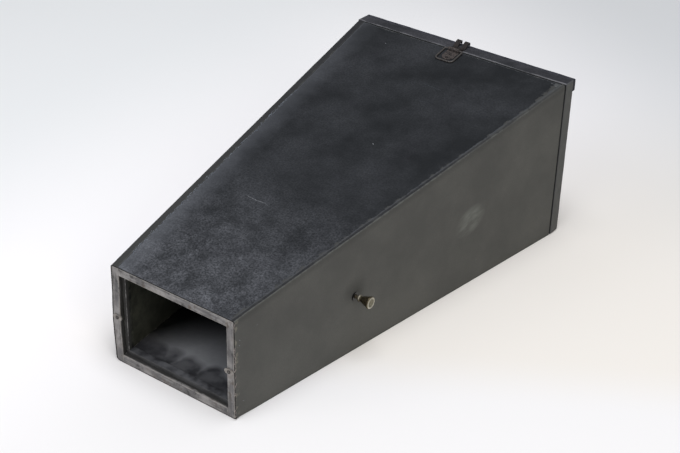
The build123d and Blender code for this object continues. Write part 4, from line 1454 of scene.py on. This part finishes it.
def head_mesh(name, radius, height, slot, slot_depth, shank_radius, shank_length, dome):
    """A round head that faces +Z, with its underside at z = 0 and a shank below."""
    mesh = bmesh.new()
    columns, grid = 12, []
    for y in rows_of(radius, slot):
        reach = math.sqrt(max(0.0, radius**2 - y**2))
        row = []
        for k in range(columns + 1):
            x = reach * (2 * k / columns - 1)
            off = math.hypot(x, y) / radius
            z = height * (1 - dome * off**2)
            if abs(y) < slot / 2:
                z -= slot_depth
            row.append(mesh.verts.new((x, y, z)))
        grid.append(row)
    for a, b in zip(grid, grid[1:]):
        for k in range(columns):
            mesh.faces.new((a[k], a[k + 1], b[k + 1], b[k]))
    bmesh.ops.remove_doubles(mesh, verts=mesh.verts, dist=0.0005 * MM)
    rim = [e for e in mesh.edges if e.is_boundary]
    skirt = bmesh.ops.extrude_edge_only(mesh, edges=rim)["geom"]
    for vert in [v for v in skirt if isinstance(v, bmesh.types.BMVert)]:
        vert.co.z = 0.0
    foot = [e for e in skirt if isinstance(e, bmesh.types.BMEdge) and e.is_boundary]
    bmesh.ops.holes_fill(mesh, edges=foot, sides=0)
    bmesh.ops.create_cone(
        mesh,
        cap_ends=True,
        segments=10,
        radius1=shank_radius * 0.2,
        radius2=shank_radius,
        depth=shank_length,
        matrix=Matrix.Translation((0, 0, -shank_length / 2 + 0.1 * MM)),
    )
    return as_object(name, mesh, 50)


# %% [markdown]
# The tree puts one head on each point, turns it to the way that it faces, and
# turns it further by chance, as a screw stops where it is tight.

# %% Tree of placed fasteners
fasteners, given = new_tree(
    "placed_fasteners", Head="Object", Facing="Rotation", Seed="Int", Material="Material"
)
head = node(fasteners, "GeometryNodeObjectInfo", {"Object": given["Head"]})
driven = {
    "Points": given["Geometry"],
    "Instance": head.outputs["Geometry"],
    "Rotation": turned_by_chance(fasteners, given["Facing"], -1.5, 1.5, given["Seed"]),
}
driven = node(fasteners, "GeometryNodeInstanceOnPoints", driven)
end_tree(fasteners, driven, given["Material"])

# %% [markdown]
# Each row names its CAD node, its body, its head and the way that the head
# faces, and says where along that way the head's underside lies.

# %% Drive the screws and brads
SLOTTED = (1.5 * MM, 0.45 * MM, 0.45 * MM, 0.3 * MM, 0.8 * MM, 4.0 * MM, 0.12)
DOMED = (1.3 * MM, 0.5 * MM, 0.1 * MM, 0.0, 0.7 * MM, 8.0 * MM, 0.75)
BACKWARDS, DOWNWARDS = (-math.pi / 2, 0, 0), (math.pi, 0, 0)
for name, cad_node, body, sizes, facing, seed, axis, seat in (
    (
        "slotted_leaf_screws", "hinge_leaf_screws", "cover", SLOTTED, BACKWARDS, 2,
        1, lambda low, high: high.y - 0.45 * MM,
    ),
    (
        "slotted_strap_screws", "hinge_strap_screws", "box", SLOTTED, DOWNWARDS, 4,
        2, lambda low, high: low.z + 0.45 * MM,
    ),
    (
        "domed_rail_brads", "finger_rail_brads", "cover", DOMED, BACKWARDS, 6,
        1, lambda low, high: RAIL_BACK,
    ),
):
    seats = []
    for low, high in boxes_of(cad_node):
        middle = (low + high) / 2
        middle[axis] = seat(low, high)
        seats.append(middle)
    steel = metals["dull_bare_steel"]
    template = head_mesh("head", *sizes)
    settings = {"Head": template, "Facing": facing, "Seed": seed, "Material": steel}
    row = grow(name, seats, [], fasteners, settings)
    dress(row, steel, body, "nail", cad_node)
    bpy.data.objects.remove(template)
    print(name, "at", [[round(c / MM, 1) for c in spot] for spot in seats])

# %% [markdown]
# ## Marks
#
# The photograph shows a few marks on the top and the side: a squiggled scratch
# near the small end, fainter ones near the latch, a white speck, and a frayed
# corner beside the seam. Each is a thin ragged sliver laid on the cloth, placed
# by its own points in millimetres. The plain ones have the colour of bare
# cotton, and the faint ones that of dust.

# %% Slivers


def scratch(mesh, points, width, normal, wild=0.5, step=0.5 * MM):
    """A thin closed sliver along points, of uneven width, on a face with this normal."""
    path = []
    for a, b in zip(points, points[1:]):
        count = max(1, int((b - a).length / step))
        path += [a.lerp(b, k / count) for k in range(count)]
    path.append(points[-1])
    corners = []
    for k, spot in enumerate(path):
        ahead = (path[min(k + 1, len(path) - 1)] - path[max(k - 1, 0)]).normalized()
        across = normal.cross(ahead).normalized()
        taper = math.sin(math.pi * (k + 0.4) / (len(path) - 0.2))
        rag = 1 + wild * noise.noise(spot / 0.0009)
        half = width / 2 * rag * max(0.15, taper)
        wobble = across * 0.25 * MM * noise.noise(spot / 0.003)
        ring = ((-1, -0.05 * MM), (1, -0.05 * MM), (1, 0.03 * MM), (-1, 0.03 * MM))
        corners.append(
            [mesh.verts.new(spot + wobble + across * half * s + normal * lift) for s, lift in ring]
        )
    for a, b in zip(corners, corners[1:]):
        for k in range(4):
            mesh.faces.new((a[k], a[(k + 1) % 4], b[(k + 1) % 4], b[k]))
    mesh.faces.new(corners[0])
    mesh.faces.new(corners[-1][::-1])


def on_right(y, z):
    return Vector((half_width(y), y, z))


# %% [markdown]
# A mark is a list of points and a width, all in millimetres. Those of the top
# are given by x and y, and those of the right side by y and z.

# %% Scratches on the top and specks on the right side
top_normal = Vector((0, -math.sin(RISE), math.cos(RISE)))
side_normal = Vector((math.cos(SPLAY), -math.sin(SPLAY), 0))
plain_marks = [
    ([(-28.1, -62.4), (-20.8, -63.4), (-12.9, -64.0), (-7.2, -63.3), (-1.2, -65.0)], 0.5),
    ([(-57.4, 151.3), (-56.3, 150.9)], 1.0),
    ([(15.6, 33.6), (17.6, 32.6)], 0.8),
    ([(89.6, 166.4), (93.6, 167.3)], 0.8),
    ([(91.2, 164.9), (94.0, 165.6)], 0.6),
    ([(87.0, 167.2), (89.2, 166.7)], 0.5),
]
faint_marks = [
    ([(-26.0, -60.6), (-18.0, -61.6), (-10.5, -61.0)], 0.35),
    ([(-0.7, 118.5), (11.3, 117.3), (23.9, 116.5)], 0.35),
    ([(10.2, 96.0), (22.4, 98.4)], 0.3),
    ([(31.0, 127.0), (38.5, 124.6)], 0.3),
    ([(55.0, 120.4), (56.4, 121.0)], 0.6),
]
side_specks = [
    ([(-165.6, 62.9), (-164.7, 61.6)], 0.9),
    ([(-165.9, 58.8), (-165.2, 57.6)], 0.7),
    ([(-163.4, 12.4), (-161.6, 11.4)], 0.5),
    ([(77.4, 17.2), (76.6, 17.0)], 0.6),
    ([(-13.9, 0.9), (-12.4, 0.9)], 0.6),
    ([(-150.6, 66.9), (-148.9, 67.4)], 0.4),
]
for name, marks, material, place, normal in (
    ("top_scratches", plain_marks, bare_cotton, on_top, top_normal),
    ("faint_top_scratches", faint_marks, dust_in_scratches, on_top, top_normal),
    ("side_specks", side_specks, bare_cotton, on_right, side_normal),
):
    mesh = bmesh.new()
    for points, width in marks:
        scratch(mesh, [place(a * MM, b * MM) for a, b in points], width * MM, normal)
    dress(as_object(name, mesh), material, "box", "leathercloth")

# %% [markdown]
# ## Finishes for the pieces that keep their CAD shape
#
# A CAD node keeps its place from the import, so it only needs its material.

# %% Give each remaining CAD node its finish
keep_finish = {
    metals["dull_bare_steel"]: "joint_brads shutter_guide_brads hinge_pins",
    metals["worn_grey_steel"]: "left_plate_button right_plate_button",
    metals["rusted_steel_wire"]: "latch_bail plate_button_pins",
    metals["rusted_latch_plate"]: "bail_plate",
    metals["blued_steel_gone_brown"]: "bail_plate_nails catch_hook catch_hook_nails"
    " left_hinge_strap right_hinge_strap left_hinge_cover_leaf right_hinge_cover_leaf",
    metals["handled_dark_brass"]: "shutter_rod shutter_rod_nuts rod_stop_collar"
    " lens_flange_screws",
    metals["black_lacquered_brass"]: "lens_flange lens_barrel lens_stop lens_spacer"
    " lens_retaining_ring rod_bush",
    metals["matt_black_painted_sheet"]: "shutter_plate",
    knob_brass: "shutter_knob",
    optical_glass: "lens_crown_glass lens_flint_glass",
    wool_felt: "rod_felt_washer pressure_pad_felt",
    level_wood: "lens_board shutter_guide_upper shutter_guide_lower shutter_stop_block",
    upright_wood: "lens_cleat_left lens_cleat_right pressure_pad_board",
}
for material, names in keep_finish.items():
    for name in names.split():
        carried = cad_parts[name].data.materials
        carried.clear()
        carried.append(material)
print("carried over:", sum(len(names.split()) for names in keep_finish.values()), "nodes")
